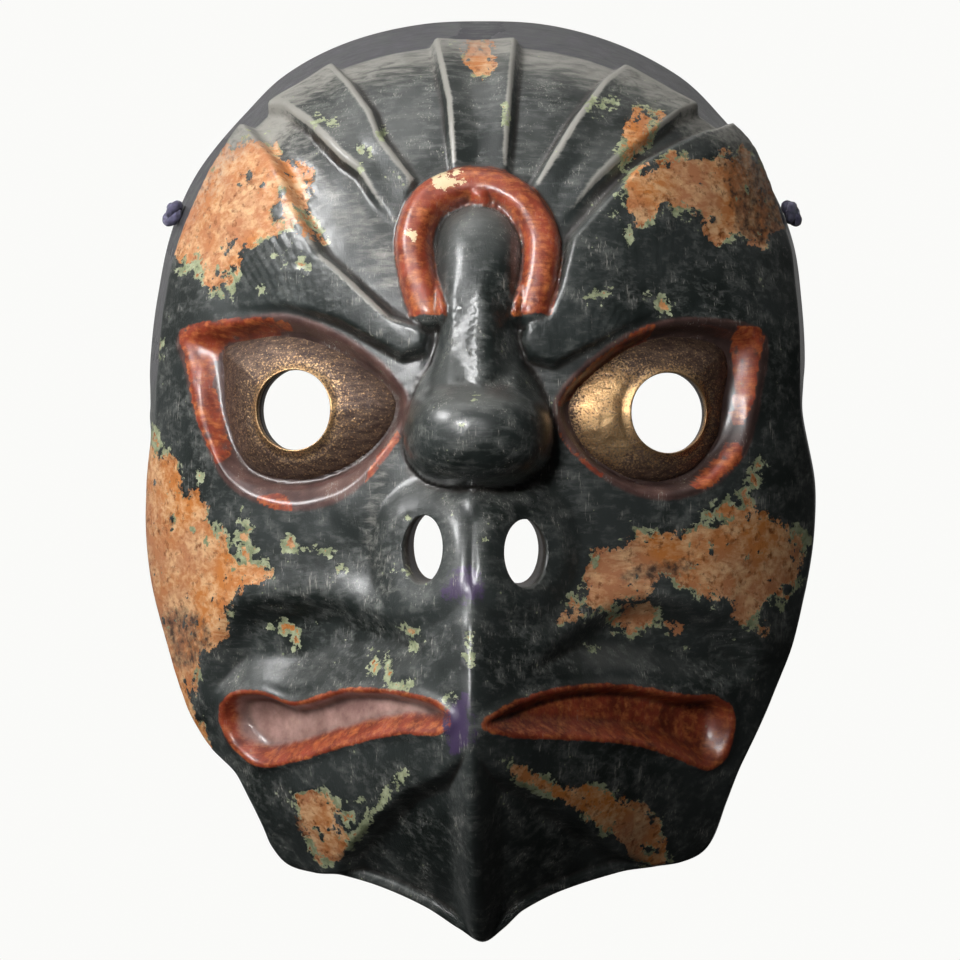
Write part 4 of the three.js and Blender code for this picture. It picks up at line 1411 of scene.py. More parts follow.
# ------------------------------------------------------------ the carved shell
@dataclass
class CarvedShell:
    """The hollowed wooden mask: carved front, side walls, rear rim and gouged hollow."""

    relief: Relief
    face_rings: int = 150
    side_rings: int = 12
    hollow_rings: int = 46
    hollow_density: float = 0.6
    pupil_diameter: float = PUPIL_DIAMETER + 0.8
    nostril_width: float = 13.0
    nostril_height: float = 17.5
    nostril_lean: float = 0.24
    nostril_rise: float = 0.1
    cord_hole_diameter: float = 4.5
    cord_bit_offset: float = 26.0  # keeps the bit of a cord hole out of the opposite wall
    bit_reach: float = 45.0
    bit_sides: int = 72
    gilt_seat: float = 1.3  # depth by which the wood lies lower under the gilt

    def rings(self) -> tuple[list[Array], list[Array], list[Array]]:
        """Points of the shell in rings from the middle of the face round to the middle of the hollow.

        Returns:
            For each ring its points, its places on the layout, and how far it is towards the bare back.
        """
        relief = self.relief
        edge_count = 6 * self.face_rings
        places = [np.array([CENTRE])]
        for k in range(1, self.face_rings + 1):
            directions = relief.directions(6 * k)
            places.append(np.stack(relief.on_face(directions, k / self.face_rings), axis=1))
        flat = np.concatenate(places)
        points = relief.face(flat[:, 0], flat[:, 1])
        sizes = [len(p) for p in places]
        faces = np.split(points, np.cumsum(sizes)[:-1])
        back = [np.zeros(size) for size in sizes]
        around = relief.directions(edge_count)
        edge = np.stack(relief.on_face(around, 1), axis=1)
        ways = [(k / self.side_rings) ** 1.35 for k in range(1, self.side_rings)] + [0.975]
        for way in ways:
            faces.append(relief.side(around, way))
            places.append(edge)
            back.append(np.full(edge_count, way))
        width = relief.rim_width
        for inset, lead in ((0.35, 0.35), (1.3, 0.0), (width - 1.2, 0.0), (width - 0.3, 0.4)):
            faces.append(relief.rim(around, inset, lead))
            places.append(edge)
            back.append(np.full(edge_count, 1.5))
        count = int(edge_count * 0.8)
        ring = relief.directions(count)
        inner = relief.hollow(*relief.on_face(ring, 1, relief.wall))
        for way in (0.25, 0.6):
            start = relief.rim(ring, relief.rim_width, 1.0)
            faces.append(start + (inner - start) * way)
            places.append(np.stack(relief.on_face(ring, 1), axis=1))
            back.append(np.full(count, 2.0))
        for k in range(self.hollow_rings, 0, -1):
            share = k / self.hollow_rings
            ring = relief.directions(max(12, int(edge_count * self.hollow_density * share)))
            x, z = relief.on_face(ring, share, relief.wall)
            faces.append(relief.hollow(x, z))
            places.append(np.stack([x, z], axis=1))
            back.append(np.full(len(ring), 2.0))
        middle = np.array([CENTRE])
        faces.append(relief.hollow(middle[:, 0], middle[:, 1]))
        places.append(middle)
        back.append(np.array([2.0]))
        return faces, places, back

    def cutter(self, name: str, point: Array, axis: Array, width: float, height: float) -> bpy.types.Object:
        """Makes a long oval bit for one hole.

        Args:
            name: Name of the cutter.
            point: A point on the hole's axis, in millimetres.
            axis: Direction of the axis.
            width: Width of the hole.
            height: Height of the hole.

        Returns:
            The cutter, to be removed after use.
        """
        axis = axis / np.linalg.norm(axis)
        side = np.cross(axis, (0, 0, 1.0))
        side /= np.linalg.norm(side)
        up = np.cross(side, axis)
        turn = np.arange(self.bit_sides) / self.bit_sides * 2 * math.pi
        oval = np.outer(width / 2 * np.cos(turn), side) + np.outer(height / 2 * np.sin(turn), up)
        ends = [point + axis * along + oval for along in (-self.bit_reach, self.bit_reach)]
        return mesh_object(name, np.concatenate(ends), tube_faces(2, self.bit_sides, False))

    def bore(self, shell: bpy.types.Object) -> None:
        """Cuts the pupils, the nostrils and the two cord holes through the wood.

        Args:
            shell: The shell, whose mesh is replaced by the bored one.
        """
        relief, jobs = self.relief, []
        for side, (x, z) in zip((1, -1), PUPILS):
            at = relief.point(x, z)
            jobs.append((at, np.array([side * PUPIL_LEAN, 1, 0]), self.pupil_diameter, self.pupil_diameter))
        for x, z in NOSTRILS:
            at = relief.point(x, z)
            lean = np.array([-math.copysign(self.nostril_lean, x), 1, self.nostril_rise])
            jobs.append((at, lean, self.nostril_width, self.nostril_height))
        cord = HangingCord()
        for sign in (-1, 1):
            first, second = (np.array([sign * x, y, z]) for x, y, z in cord.half[:2])
            outwards = (first - second) / np.linalg.norm(first - second)
            size = self.cord_hole_diameter
            jobs.append((first + outwards * self.cord_bit_offset, outwards, size, size))
        for k, job in enumerate(jobs):
            bit = self.cutter(f"bit_{k}", *job)
            cut = shell.modifiers.new("bore", "BOOLEAN")
            cut.operation, cut.object, cut.solver = "DIFFERENCE", bit, "MANIFOLD"
            bpy.context.view_layer.update()
            graph = bpy.context.evaluated_depsgraph_get()
            mesh = bpy.data.meshes.new_from_object(shell.evaluated_get(graph))
            shell.modifiers.clear()
            old, shell.data = shell.data, mesh
            bpy.data.meshes.remove(old)
            bpy.data.objects.remove(bit)

    def worn_edges(self, points: Array, faces: Sequence, reach: int = 3) -> Array:
        """How far each point stands out of its surroundings: positive on edges, negative in grooves.

        Args:
            points: All points of the shell.
            faces: Its triangles.
            reach: How many times the surroundings are averaged.

        Returns:
            Millimetres along the surface normal.
        """
        corners = np.array(faces)
        one = corners[:, [0, 1, 2]].ravel()
        other = corners[:, [1, 2, 0]].ravel()
        degree = np.bincount(one, minlength=len(points)) + np.bincount(other, minlength=len(points))
        level = points.copy()
        ends = np.concatenate([one, other])
        far_ends = np.concatenate([other, one])
        for _ in range(reach):
            total = [np.bincount(ends, level[far_ends, k], len(points)) for k in range(3)]
            level = np.stack(total, axis=1) / degree[:, None]
        a, b, c = (points[corners[:, k]] for k in range(3))
        normals = np.cross(b - a, c - a)
        users = corners.T.ravel()
        shares = np.tile(normals, (3, 1))
        summed = np.stack([np.bincount(users, shares[:, k], len(points)) for k in range(3)], axis=1)
        summed /= np.maximum(np.linalg.norm(summed, axis=1), 1e-9)[:, None]
        return np.einsum("ij,ij->i", points - level, summed)

    def build(self, material: bpy.types.Material) -> bpy.types.Object:
        """Makes the shell with its holes and the fields that its paint follows.

        Args:
            material: The painted wood.

        Returns:
            The shell.
        """
        relief = self.relief
        ring_points, ring_places, ring_back = self.rings()
        faces = skin_over([len(ring) for ring in ring_points])
        points = np.concatenate(ring_points)
        places = np.concatenate(ring_places)
        back = np.concatenate(ring_back)
        x, z = places[:, 0], places[:, 1]
        plan = PaintPlan(relief)
        coats = plan.fields(x, z, points)
        radius = np.hypot(x - CENTRE[0], z - CENTRE[1])
        inside = relief.edge_radius(np.degrees(np.arctan2(z - CENTRE[1], x - CENTRE[0]))) - radius
        front = 1 - smooth(back, 0.0, 0.25)
        ridge = self.worn_edges(points, faces)
        sunk = plan.coat_sunk * smooth(coats[Layer.GREEN], -0.3, 0.3)
        sunk += (plan.ground_sunk - plan.coat_sunk) * smooth(coats[Layer.OCHRE], -0.3, 0.3)
        grain = relief.grain
        wobble = relief.hand_wobble * (grain(points, 16, 2) + 0.25 * grain(points, 5, 2))
        seat = deepest_inside(GILTS, x, z)
        lowered = self.gilt_seat * smooth(seat, 0.2, 1.0) * (back == 0)
        move = (wobble - sunk) * front - lowered
        points = points + relief.normal(x, z) * move[:, None]
        shell = mesh_object("carved_mask_shell", points, faces)
        self.bore(shell)
        tree = KDTree(len(points))
        for k, point in enumerate((points * MM).tolist()):
            tree.insert(point, k)
        tree.balance()
        nearest = np.array([tree.find(v.co)[1] for v in shell.data.vertices])
        values = {coat.value: depth for coat, depth in coats.items()}
        half_width, half_height = self.nostril_width / 2, self.nostril_height / 2
        ways = [np.hypot((x - cx) / half_width, (z - cz) / half_height) for cx, cz in NOSTRILS]
        nostrils = np.min(np.abs(np.array(ways) - 1), axis=0)
        values["ridge"] = ridge + 0.12 * np.exp(-((nostrils / 0.12) ** 2)) * (back == 0)
        on_plates = deepest_inside(PLATES, x, z, 6)
        # Painted highlight: the crest of the left brow, on the lit side, keeps a pale worn line; the right
        # brow's crest does not.
        left_crest_highlight = np.exp(-((distance_to(BROW_CRESTS[0], x, z, NEAR) / 2.2) ** 2))
        plates = np.maximum(smooth(on_plates, -2.5, -0.5), left_crest_highlight) * smooth(z, -66, -60)
        plates = (0.12 + 0.88 * plates) * (1 - 0.85 * smooth(coats[Layer.RED], -1.6, -0.3))
        values["ridge"] = np.where(values["ridge"] > 0, values["ridge"] * plates, values["ridge"])
        # Painted shade: the lid band round the right eye loses its pale edge wear and takes the dark groove
        # colour, as on the shaded side of the face.
        right_lid_painted_shade = smooth(coats[Layer.MAUVE], -0.3, 0.5) * smooth(x, 20, 60) * (
            1 - smooth(coats[Layer.RED], -0.4, 0.2)
        )
        values["ridge"] = np.minimum(values["ridge"], 2.0 - 2.55 * right_lid_painted_shade)
        values["rubbed"] = plan.rubbed(x, z, inside) * front
        values["band"] = np.maximum(smooth(back, 0.0, 0.12) * smooth(z, -88, -70), smooth(back, 0.35, 0.8))
        values["bare"] = smooth(back, 1.0, 1.6)
        values["stain"] = deepest_inside(STAINS, x, z, NEAR)
        values["cream"] = plan.round_spots(RING_CREAM, x, z, grain(points, 2.0, 2))
        for name, value in values.items():
            write_field(shell.data, name, value[nearest])
        shell.data.polygons.foreach_set("use_smooth", [True] * len(shell.data.polygons))
        shell.data.materials.clear()
        shell.data.materials.append(material)
        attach(shell, BODY)
        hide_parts("mask_shell")
        return shell


# ------------------------------------------------------------ finishes
@dataclass(frozen=True)
class PaintedWood:
    """Old carved wood under gesso and several hand-brushed coats, waxed by handling.

    The top coat is a slate-green black with a soft sheen; under it lie a pale green coat and an ochre
    ground, matt where they are bare. Edges are rubbed pale; grooves are darkened by grime together with
    painted shade, and what faces up is paled by dust together with painted light from above.
    """

    top: str = "#383d3c"
    top_deep: str = "#1f2523"
    top_worn: str = "#616461"
    green: str = "#838c68"
    green_pale: str = "#b9bf9b"
    ochre: str = "#cb7d38"
    salmon: str = "#c08056"
    ochre_pale: str = "#e6bb8c"
    ochre_brown: str = "#83491f"
    # grime colour of the stains and the bare wood; in the grooves it is also painted shade
    dirt_and_shade: str = "#332b28"
    # dust colour; on what faces up it also stands in for painted light from above
    dust: str = "#777672"
    rubbed: str = "#a4a199"
    red: str = "#a94a30"
    red_deep: str = "#6f2c1c"
    red_pale: str = "#cf7a45"
    cream: str = "#eed5ab"
    mauve: str = "#71544d"
    rose: str = "#c39e93"
    rose_deep: str = "#926f68"
    mauve_deep: str = "#4a3432"
    violet: str = "#493a5b"
    slate: str = "#45434a"
    bare_wood: str = "#64503e"
    brush_mm: float = 0.45  # bristle marks
    flake_mm: float = 0.8  # smallest teeth along the edge of a chip
    streak_mm: float = 1.6  # strokes of the brush and of the hand that rubbed them
    scratch_mm: float = 0.5  # dry scratches, drawn wide enough to show
    speck_mm: float = 2.6  # spacing of pinholes
    coat_mm: float = 0.12  # thickness of a coat
    skin_mm: float = 0.16  # height of bristle marks and dust

    def patterns(self, add: Adder) -> Sockets:
        """Adds the noises that break up the paint.

        Args:
            add: Adds a node to the material.

        Returns:
            The noises by name.
        """
        place = add("TexCoord", out="Object")
        noises = {}
        for name, size, detail, rough in (
            ("cloud", 26.0, 4.0, 0.55),
            ("mottle", 6.0, 5.0, 0.6),
            ("patch", 2.4, 5.0, 0.65),
            ("flake", self.flake_mm, 4.0, 0.7),
            ("dust", 0.35, 3.0, 0.7),
        ):
            shape = {"Scale": 1 / (size * MM), "Detail": detail, "Roughness": rough}
            noises[name] = add("TexNoise", {}, {"Vector": place, **shape})
        for name, turn, stretch, size, detail, rough, bend in (
            ("bristle", 0.5, (1.0, 1.0, 0.16), self.brush_mm, 4.0, 0.6, 0.3),
            ("streak", -0.35, (0.2, 1.0, 1.0), self.streak_mm, 5.0, 0.65, 0.4),
            ("scratch", 0.75, (1.0, 1.0, 0.1), self.scratch_mm, 3.0, 0.7, 0.0),
        ):
            along = add("Mapping", {}, {"Vector": place, "Rotation": (0.0, turn, 0.0), "Scale": stretch})
            shape = {"Scale": 1 / (size * MM), "Detail": detail, "Roughness": rough, "Distortion": bend}
            noises[name] = add("TexNoise", {}, {"Vector": along, **shape})
        speck = {"Vector": place, "Scale": 1 / (self.speck_mm * MM), "Randomness": 1.0}
        noises["speck"] = add("TexVoronoi", {"feature": "F1"}, speck)
        return noises

    def masks(self, add: Adder, fields: Sockets, noise: Sockets) -> Sockets:
        """Adds how much each coat shows, with a toothed edge where it flaked and a soft one where brushed.

        Args:
            add: Adds a node to the material.
            fields: The shell's fields by name.
            noise: The noises by name.

        Returns:
            For each coat, 0 where it is hidden and 1 where it shows.
        """
        teeth = add("Math", MULTIPLY_ADD, {0: noise["flake"], 1: 4.0, 2: -4.5})
        teeth = add("Math", MULTIPLY_ADD, {0: noise["patch"], 1: 5.0, 2: teeth})
        scratchy = add("Math", MULTIPLY_ADD, {0: noise["streak"], 1: 5.0, 2: -2.8})
        scratched = add("Math", ADD, {0: teeth, 1: scratchy})
        brushed = add("Math", MULTIPLY_ADD, {0: noise["patch"], 1: 1.2, 2: -0.6})
        shown = {}
        for name, edge, sharp in (
            ("ochre", teeth, 0.12),
            ("green", scratched, 0.12),
            ("violet", teeth, 0.7),
            ("cream", teeth, 0.2),
            ("red", brushed, 0.28),
            ("mauve", brushed, 0.6),
            ("rose", brushed, 0.7),
            ("stain", brushed, 3.0),
        ):
            depth = add("Math", ADD, {0: fields[name], 1: edge})
            shown[name] = add("MapRange", EASED, {"Value": depth, "From Min": -sharp, "From Max": sharp})
        return shown

    def paints(self, add: Adder, noise: Sockets, masks: Sockets, thin: bpy.types.NodeSocket) -> Sockets:
        """Adds the colours of the coats over and under the top coat.

        Args:
            add: Adds a node to the material.
            noise: The noises by name.
            masks: How much each coat shows.
            thin: How far the top coat is worn thin.

        Returns:
            The colours by the coat's name.
        """
        glow = add("MapRange", {}, {"Value": noise["mottle"], "From Min": 0.35, "From Max": 0.65})
        lichen = add("MapRange", {}, {"Value": noise["patch"], "From Min": 0.38, "From Max": 0.66})
        fired = add("MapRange", {}, {"Value": noise["cloud"], "From Min": 0.4, "From Max": 0.6})
        colours = {}
        for name, share, under, over in (
            ("red", glow, self.red_deep, self.red),
            ("mauve", glow, self.mauve_deep, self.mauve),
            ("rose", glow, self.rose_deep, self.rose),
            ("green", lichen, self.green, self.green_pale),
            ("ochre", fired, self.ochre, self.salmon),
            ("slate", thin, self.slate, self.top_worn),
            ("wood", noise["streak"], self.dirt_and_shade, self.bare_wood),
        ):
            colours[name] = add("Mix", COLOURS, {0: share, 6: linear(under), 7: linear(over)}, 2)
        rubbed = add("Math", MULTIPLY, {0: noise["streak"], 1: noise["patch"]})
        rubbed = add("MapRange", {}, {"Value": rubbed, "From Min": 0.22, "From Max": 0.42})
        for share, over in ((rubbed, self.red_pale), (masks["cream"], self.cream)):
            colours["red"] = add("Mix", COLOURS, {0: share, 6: colours["red"], 7: linear(over)}, 2)
        return colours

    def wear(self, add: Adder, fields: Sockets, noise: Sockets) -> Sockets:
        """Adds where edges, plate ends and scratches are rubbed pale, and where grooves are darkened by
        grime together with painted shade.

        Args:
            add: Adds a node to the material.
            fields: The shell's fields by name.
            noise: The noises by name.

        Returns:
            The kinds of wear by name.
        """
        # painted shade: the deeper a point lies in a groove, the more of the grime colour it takes, shade
        # and grime together
        groove = {"From Min": -0.06, "From Max": -0.45, "To Max": 0.6}
        edge = add("Math", MULTIPLY_ADD, {0: noise["streak"], 1: 0.3, 2: fields["ridge"]})
        edge = add("MapRange", EASED, {"Value": edge, "From Min": 0.24, "From Max": 0.46, "To Max": 0.85})
        brushed = add("Math", MULTIPLY_ADD, {0: fields["rubbed"], 1: 0.6, 2: noise["streak"]})
        brushed = add(
            "MapRange", EASED, {"Value": brushed, "From Min": 0.62, "From Max": 1.15, "To Max": 0.8}
        )
        scratch = add("Math", MULTIPLY_ADD, {0: noise["mottle"], 1: 0.7, 2: noise["scratch"]})
        return {
            "groove": add("MapRange", {}, {"Value": fields["ridge"], **groove}),
            "brushed": brushed,
            "worn": add("Math", LARGER, {0: edge, 1: brushed}),
            "scratch": add(
                "MapRange", {}, {"Value": scratch, "From Min": 0.98, "From Max": 1.12, "To Max": 0.7}
            ),
        }

    def build(self) -> bpy.types.Material:
        """Makes the material from the shell's fields.

        Returns:
            The node material.
        """
        material = bare_material("painted_carved_wood")
        add = partial(node, material.node_tree)
        names = [coat.value for coat in Layer] + ["ridge", "rubbed", "band", "bare", "stain", "cream"]
        fields = {name: add("Attribute", {"attribute_name": name}, out="Fac") for name in names}
        noise = self.patterns(add)
        masks = self.masks(add, fields, noise)
        wear = self.wear(add, fields, noise)
        thin = add("Math", MULTIPLY, {0: noise["mottle"], 1: noise["streak"]})
        thin = add("MapRange", {}, {"Value": thin, "From Min": 0.22, "From Max": 0.4, "To Max": 0.9})
        paints = self.paints(add, noise, masks, thin)

        # Top coat: cloudy slate green, thin and grey where it was handled, and paler on what faces up: dust
        # together with painted light from above.
        deep = add("MapRange", {}, {"Value": noise["cloud"], "From Min": 0.36, "From Max": 0.62})
        up = add("SeparateXYZ", {}, {"Vector": add("NewGeometry", out="Normal")}, "Z")
        # dust and painted light from above: the more a surface faces up, the more of the pale dust colour
        # it takes
        dust = add("MapRange", EASED, {"Value": up, "From Min": 0.1, "From Max": 0.8, "To Max": 0.4})
        dust = add("Math", MULTIPLY, {0: dust, 1: deep})
        colour = add("Mix", COLOURS, {0: deep, 6: linear(self.top_deep), 7: linear(self.top)}, 2)

        # The painted details over it, grime and painted shade in the grooves, and what is rubbed pale; red
        # wears least.
        kept = add("Math", MULTIPLY_ADD, {0: masks["red"], 1: -0.65, 2: 1.0})
        worn = add("Math", MULTIPLY, {0: wear["worn"], 1: kept})
        scratch = add("Math", MULTIPLY, {0: wear["scratch"], 1: kept})
        for share, over in (
            (thin, linear(self.top_worn)),
            (dust, linear(self.dust)),
            (masks["mauve"], paints["mauve"]),
            (masks["red"], paints["red"]),
            (masks["rose"], paints["rose"]),
            (masks["violet"], linear(self.violet)),
            (wear["groove"], linear(self.dirt_and_shade)),
            (worn, linear(self.rubbed)),
            (scratch, linear(self.rubbed)),
        ):
            colour = add("Mix", COLOURS, {0: share, 6: colour, 7: over}, 2)

        # Pale green coat, also in specks through pinholes, where the coats above have flaked.
        hole = {"Value": noise["mottle"], "From Min": 0.5, "From Max": 0.68, "To Max": 0.2}
        hole = add("Math", {"operation": "SUBTRACT"}, {0: add("MapRange", {}, hole), 1: noise["speck"]})
        hole = add("MapRange", {}, {"Value": hole, "From Min": 0.0, "From Max": 0.05, "To Max": 0.8})
        green = add("Math", LARGER, {0: masks["green"], 1: hole})
        green = add("Math", MULTIPLY, {0: green, 1: kept})

        # Ochre ground: pale where rubbed, burnt in spots, sooty in the stains, dusty at the face's edge.
        pale = add("Math", MULTIPLY, {0: noise["streak"], 1: noise["mottle"]})
        pale = add("MapRange", {}, {"Value": pale, "From Min": 0.2, "From Max": 0.36, "To Max": 0.9})
        burnt = add("MapRange", {}, {"Value": noise["patch"], "From Min": 0.55, "From Max": 0.7})
        soot = add("Math", MULTIPLY, {0: masks["stain"], 1: noise["patch"]})
        soot = add("MapRange", {}, {"Value": soot, "From Min": 0.3, "From Max": 0.62, "To Max": 0.85})
        dusty = add("Math", MULTIPLY, {0: wear["brushed"], 1: 0.6})
        ground = paints["ochre"]
        for share, over in (
            (pale, self.ochre_pale),
            (burnt, self.ochre_brown),
            (soot, self.dirt_and_shade),
            (dusty, self.rubbed),
        ):
            ground = add("Mix", COLOURS, {0: share, 6: ground, 7: linear(over)}, 2)

        # Plain slate paint round the back of the side walls, smoked bare wood behind.
        back = add("Math", MULTIPLY_ADD, {0: noise["patch"], 1: 0.5, 2: fields["band"]})
        back = add("MapRange", {}, {"Value": back, "From Min": 0.55, "From Max": 0.85})
        for share, over in (
            (green, paints["green"]),
            (masks["ochre"], ground),
            (back, paints["slate"]),
            (fields["bare"], paints["wood"]),
        ):
            colour = add("Mix", COLOURS, {0: share, 6: colour, 7: over}, 2)

        # Sheen: waxed top coat, matt ground, dry bare wood.
        gloss = {"From Min": 0.3, "From Max": 0.7, "To Min": 0.3, "To Max": 0.5}
        rough = add("MapRange", {}, {"Value": noise["mottle"], **gloss})
        matt = add("Math", LARGER, {0: masks["ochre"], 1: masks["green"]})
        matt = add("Math", LARGER, {0: matt, 1: fields["bare"]})
        worn_sheen = add("Math", MULTIPLY, {0: wear["worn"], 1: 0.5})
        for share, to in ((matt, 0.66), (worn_sheen, 0.55)):
            rough = add("Mix", {"data_type": "FLOAT"}, {0: share, 2: rough, 3: to})

        # Relief too fine for the carving: coat edges, bristle marks, dust under the paint.
        coats = add("Math", ADD, {0: masks["green"], 1: masks["ochre"]})
        step = {"Height": coats, "Distance": self.coat_mm * MM, "Strength": 0.9}
        coats = add("Bump", {"invert": True}, step)
        skin = add("Math", MULTIPLY_ADD, {0: noise["bristle"], 1: 0.6, 2: noise["patch"]})
        skin = add("Math", MULTIPLY_ADD, {0: noise["dust"], 1: 0.35, 2: skin})
        skin = {"Height": skin, "Distance": self.skin_mm * MM, "Strength": 0.75, "Normal": coats}
        surface = {
            "Base Color": colour,
            "Roughness": rough,
            "Specular IOR Level": 0.5,
            "Normal": add("Bump", {}, skin),
            "Coat Weight": 0.6,
            "Coat Roughness": 0.22,
        }
        add("OutputMaterial", {}, {"Surface": add("BsdfPrincipled", {}, surface)})
        return material


@dataclass(frozen=True)
class GiltMetal:
    """Beaten brass sheet, gilt and toned brown: bright grains of gold where the toning has rubbed off, and
    more of them where a highlight is painted on.
    """

    gold: str = "#ffdaa6"
    gold_deep: str = "#b07d48"
    toning: str = "#43322c"
    toning_pale: str = "#77604f"
    grain_mm: float = 0.55  # punched grain of the sheet
    punch_mm: float = 0.16

    def build(self) -> bpy.types.Material:
        """Makes the material of the eyes.

        Returns:
            The node material.
        """
        material = bare_material("toned_gilt_brass")
        add = partial(node, material.node_tree)
        place = add("TexCoord", out="Object")
        bright = add("Attribute", {"attribute_name": "bright"}, out="Fac")
        punched = {"Scale": 1 / (self.grain_mm * MM), "Detail": 2.0, "Roughness": 0.6}
        grain = add("TexNoise", {}, {"Vector": place, **punched})
        cloud = add("TexNoise", {}, {"Vector": place, "Scale": 1 / (5 * MM), "Detail": 4.0})
        smear = add("Mapping", {}, {"Vector": place, "Scale": (0.25, 1.0, 1.0)})
        smear = {"Vector": smear, "Scale": 1 / (1.2 * MM), "Detail": 5.0, "Roughness": 0.7}
        smear = add("TexNoise", {}, smear)
        show = add("Math", MULTIPLY_ADD, {0: grain, 1: 3.0, 2: bright})
        show = add("Math", MULTIPLY_ADD, {0: smear, 1: 0.6, 2: show})
        # the bright field holds the wear round the pupil and, on the right eye, a painted highlight beside
        # the nose
        rubbed = add("MapRange", EASED, {"Value": show, "From Min": 2.05, "From Max": 3.0})
        metal = add("Mix", COLOURS, {0: cloud, 6: linear(self.gold_deep), 7: linear(self.gold)}, 2)
        tone = add("MapRange", {}, {"Value": smear, "From Min": 0.4, "From Max": 0.7})
        tone = add("Mix", COLOURS, {0: tone, 6: linear(self.toning), 7: linear(self.toning_pale)}, 2)
        colour = add("Mix", COLOURS, {0: rubbed, 6: tone, 7: metal}, 2)
        metallic = add("MapRange", {}, {"Value": rubbed, "To Min": 0.35, "To Max": 1.0})
        rough = add("MapRange", {}, {"Value": rubbed, "To Min": 0.52, "To Max": 0.42})
        relief = add("Math", MULTIPLY_ADD, {0: smear, 1: 0.7, 2: grain})
        bump = add("Bump", {}, {"Height": relief, "Distance": self.punch_mm * MM, "Strength": 1.0})
        surface = {"Base Color": colour, "Metallic": metallic, "Roughness": rough, "Normal": bump}
        add("OutputMaterial", {}, {"Surface": add("BsdfPrincipled", {}, surface)})
        return material


# ------------------------------------------------------------ gilt eyes
@dataclass
class GiltEye:
    """One domed eye of gilt sheet, let into the wood, with a rolled rim round the pupil."""

    relief: Relief
    side: int
    skin: float = 0.9
    around: int = 220
    rings: int = 30
    roll: float = 0.55
    tuck: float = 2.6
    overlap: float = 0.35  # how far the sheet goes in under the lids
    crowding: float = 0.8  # below 1, the rings stand closer together towards the pupil
    painted_gleam: tuple[float, float] = (0.06, 1.32)  # painted highlight: how much more gold each eye shows beside the nose, where the light catches it

    def pupil_edge(self, angles: Array, radius: float) -> tuple[Array, Array]:
        """Places on the layout where a round hole of some radius meets the eye's surface.

        Args:
            angles: Directions round the pupil.
            radius: Radius of the hole.

        Returns:
            The sideways and upward places.
        """
        cx, cz = PUPILS[self.side]
        centre = self.relief.point(cx, cz)
        axis = self.axis()
        reach = np.full(angles.shape, radius)
        for _ in range(6):
            x, z = cx + reach * np.cos(angles), cz + reach * np.sin(angles)
            away = self.relief.face(x, z) - centre
            away -= np.outer(away @ axis, axis)
            reach *= radius / np.linalg.norm(away, axis=1)
        return cx + reach * np.cos(angles), cz + reach * np.sin(angles)

    def axis(self) -> Array:
        """Direction of the pupil's hole as it goes back."""
        lean = np.array([PUPIL_LEAN if self.side == 0 else -PUPIL_LEAN, 1.0, 0.0])
        return lean / np.linalg.norm(lean)

    def outline_reach(self, angles: Array) -> Array:
        """Distance from the pupil's middle to the gilt outline.

        Args:
            angles: Directions round the pupil.

        Returns:
            One distance for each direction.
        """
        cx, cz = PUPILS[self.side]
        edge = GILTS[self.side][:-1]
        turn = np.arctan2(edge[:, 1] - cz, edge[:, 0] - cx)
        reach = np.hypot(edge[:, 0] - cx, edge[:, 1] - cz)
        order = np.argsort(turn)
        return np.interp(angles, turn[order], reach[order], period=2 * math.pi)

    def build(self, material: bpy.types.Material) -> bpy.types.Object:
        """Makes the eye.

        Args:
            material: The gilt metal.

        Returns:
            The eye.
        """
        cx, cz = PUPILS[self.side]
        angles = np.arange(self.around) / self.around * 2 * math.pi
        far = self.outline_reach(angles)
        edge_x, edge_z = self.pupil_edge(angles, PUPIL_DIAMETER / 2)
        near = np.hypot(edge_x - cx, edge_z - cz)
        outer = far + self.overlap
        rows, rims, axis = [], [], self.axis()
        dents = Grain(seed=21 + self.side)
        for k in range(self.rings + 1):
            reach = outer + (near - outer) * (k / self.rings) ** self.crowding
            x, z = cx + reach * np.cos(angles), cz + reach * np.sin(angles)
            gap = reach - near
            bead = 0.5 * np.exp(-((gap / 0.9) ** 2)) - 0.25 * np.exp(-(((gap - 2.2) / 1.0) ** 2))
            edge = -0.75 * np.exp(-(((outer - reach) / 0.45) ** 2))
            points = self.relief.face(x, z)
            beaten = (0.22 * dents(points, 7, 2) + 0.08 * dents(points, 1.8, 2)) * smooth(gap, 0.5, 2.5)
            rows.append(points + self.relief.normal(x, z) * (bead + edge + beaten)[:, None])
            rims.append(gap)
        lip = rows[-1]
        centre = self.relief.point(cx, cz)
        inwards = lip - centre
        inwards -= np.outer(inwards @ axis, axis)
        inwards /= np.linalg.norm(inwards, axis=1)[:, None]
        for depth, out in ((0.25, 0.12), (0.7, 0.0), (self.tuck, 0.0)):
            rows.append(lip + axis * depth - inwards * (0.12 - out))
            rims.append(np.zeros(self.around) - depth)
        rows.append(rows[-1] + inwards * self.roll)
        rims.append(rims[-1])
        for k in range(self.rings, -1, -3):
            reach = outer + (near + self.roll + 0.4 - outer) * (k / self.rings) ** self.crowding
            x, z = cx + reach * np.cos(angles), cz + reach * np.sin(angles)
            rows.append(self.relief.face(x, z, -self.skin - 0.15))
            rims.append(reach - near)
        name = ("left", "right")[self.side]
        gap = np.concatenate(rims)
        points = np.concatenate(rows)
        eye = mesh_object(f"gilt_eye_{name}", points, tube_faces(len(rows), self.around, True))
        towards_nose = (points[:, 0] - cx) * (1 if self.side == 0 else -1) / 24
        bright = 0.62 * np.exp(-np.maximum(gap, 0) / 3.2) + 0.25 * np.exp(-((gap / 0.8) ** 2))
        middle = np.exp(-((points[:, 2] - cz) / 13) ** 2)
        # Painted highlight: the right eye shows far more gold on its side towards the nose, where the light
        # falls on it.
        bright += self.painted_gleam[self.side] * smooth(towards_nose, 0.25, 0.65) * (
            1 - smooth(towards_nose, 0.85, 1.2)
        ) * middle
        bright += 0.15 * np.exp(-np.maximum(gap, 0) / 9) + 0.02
        write_field(eye.data, "bright", np.minimum(bright, 1.15))
        eye.data.materials.append(material)
        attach(eye, BODY)
        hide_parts(f"eye_dome_{name}")
        return eye


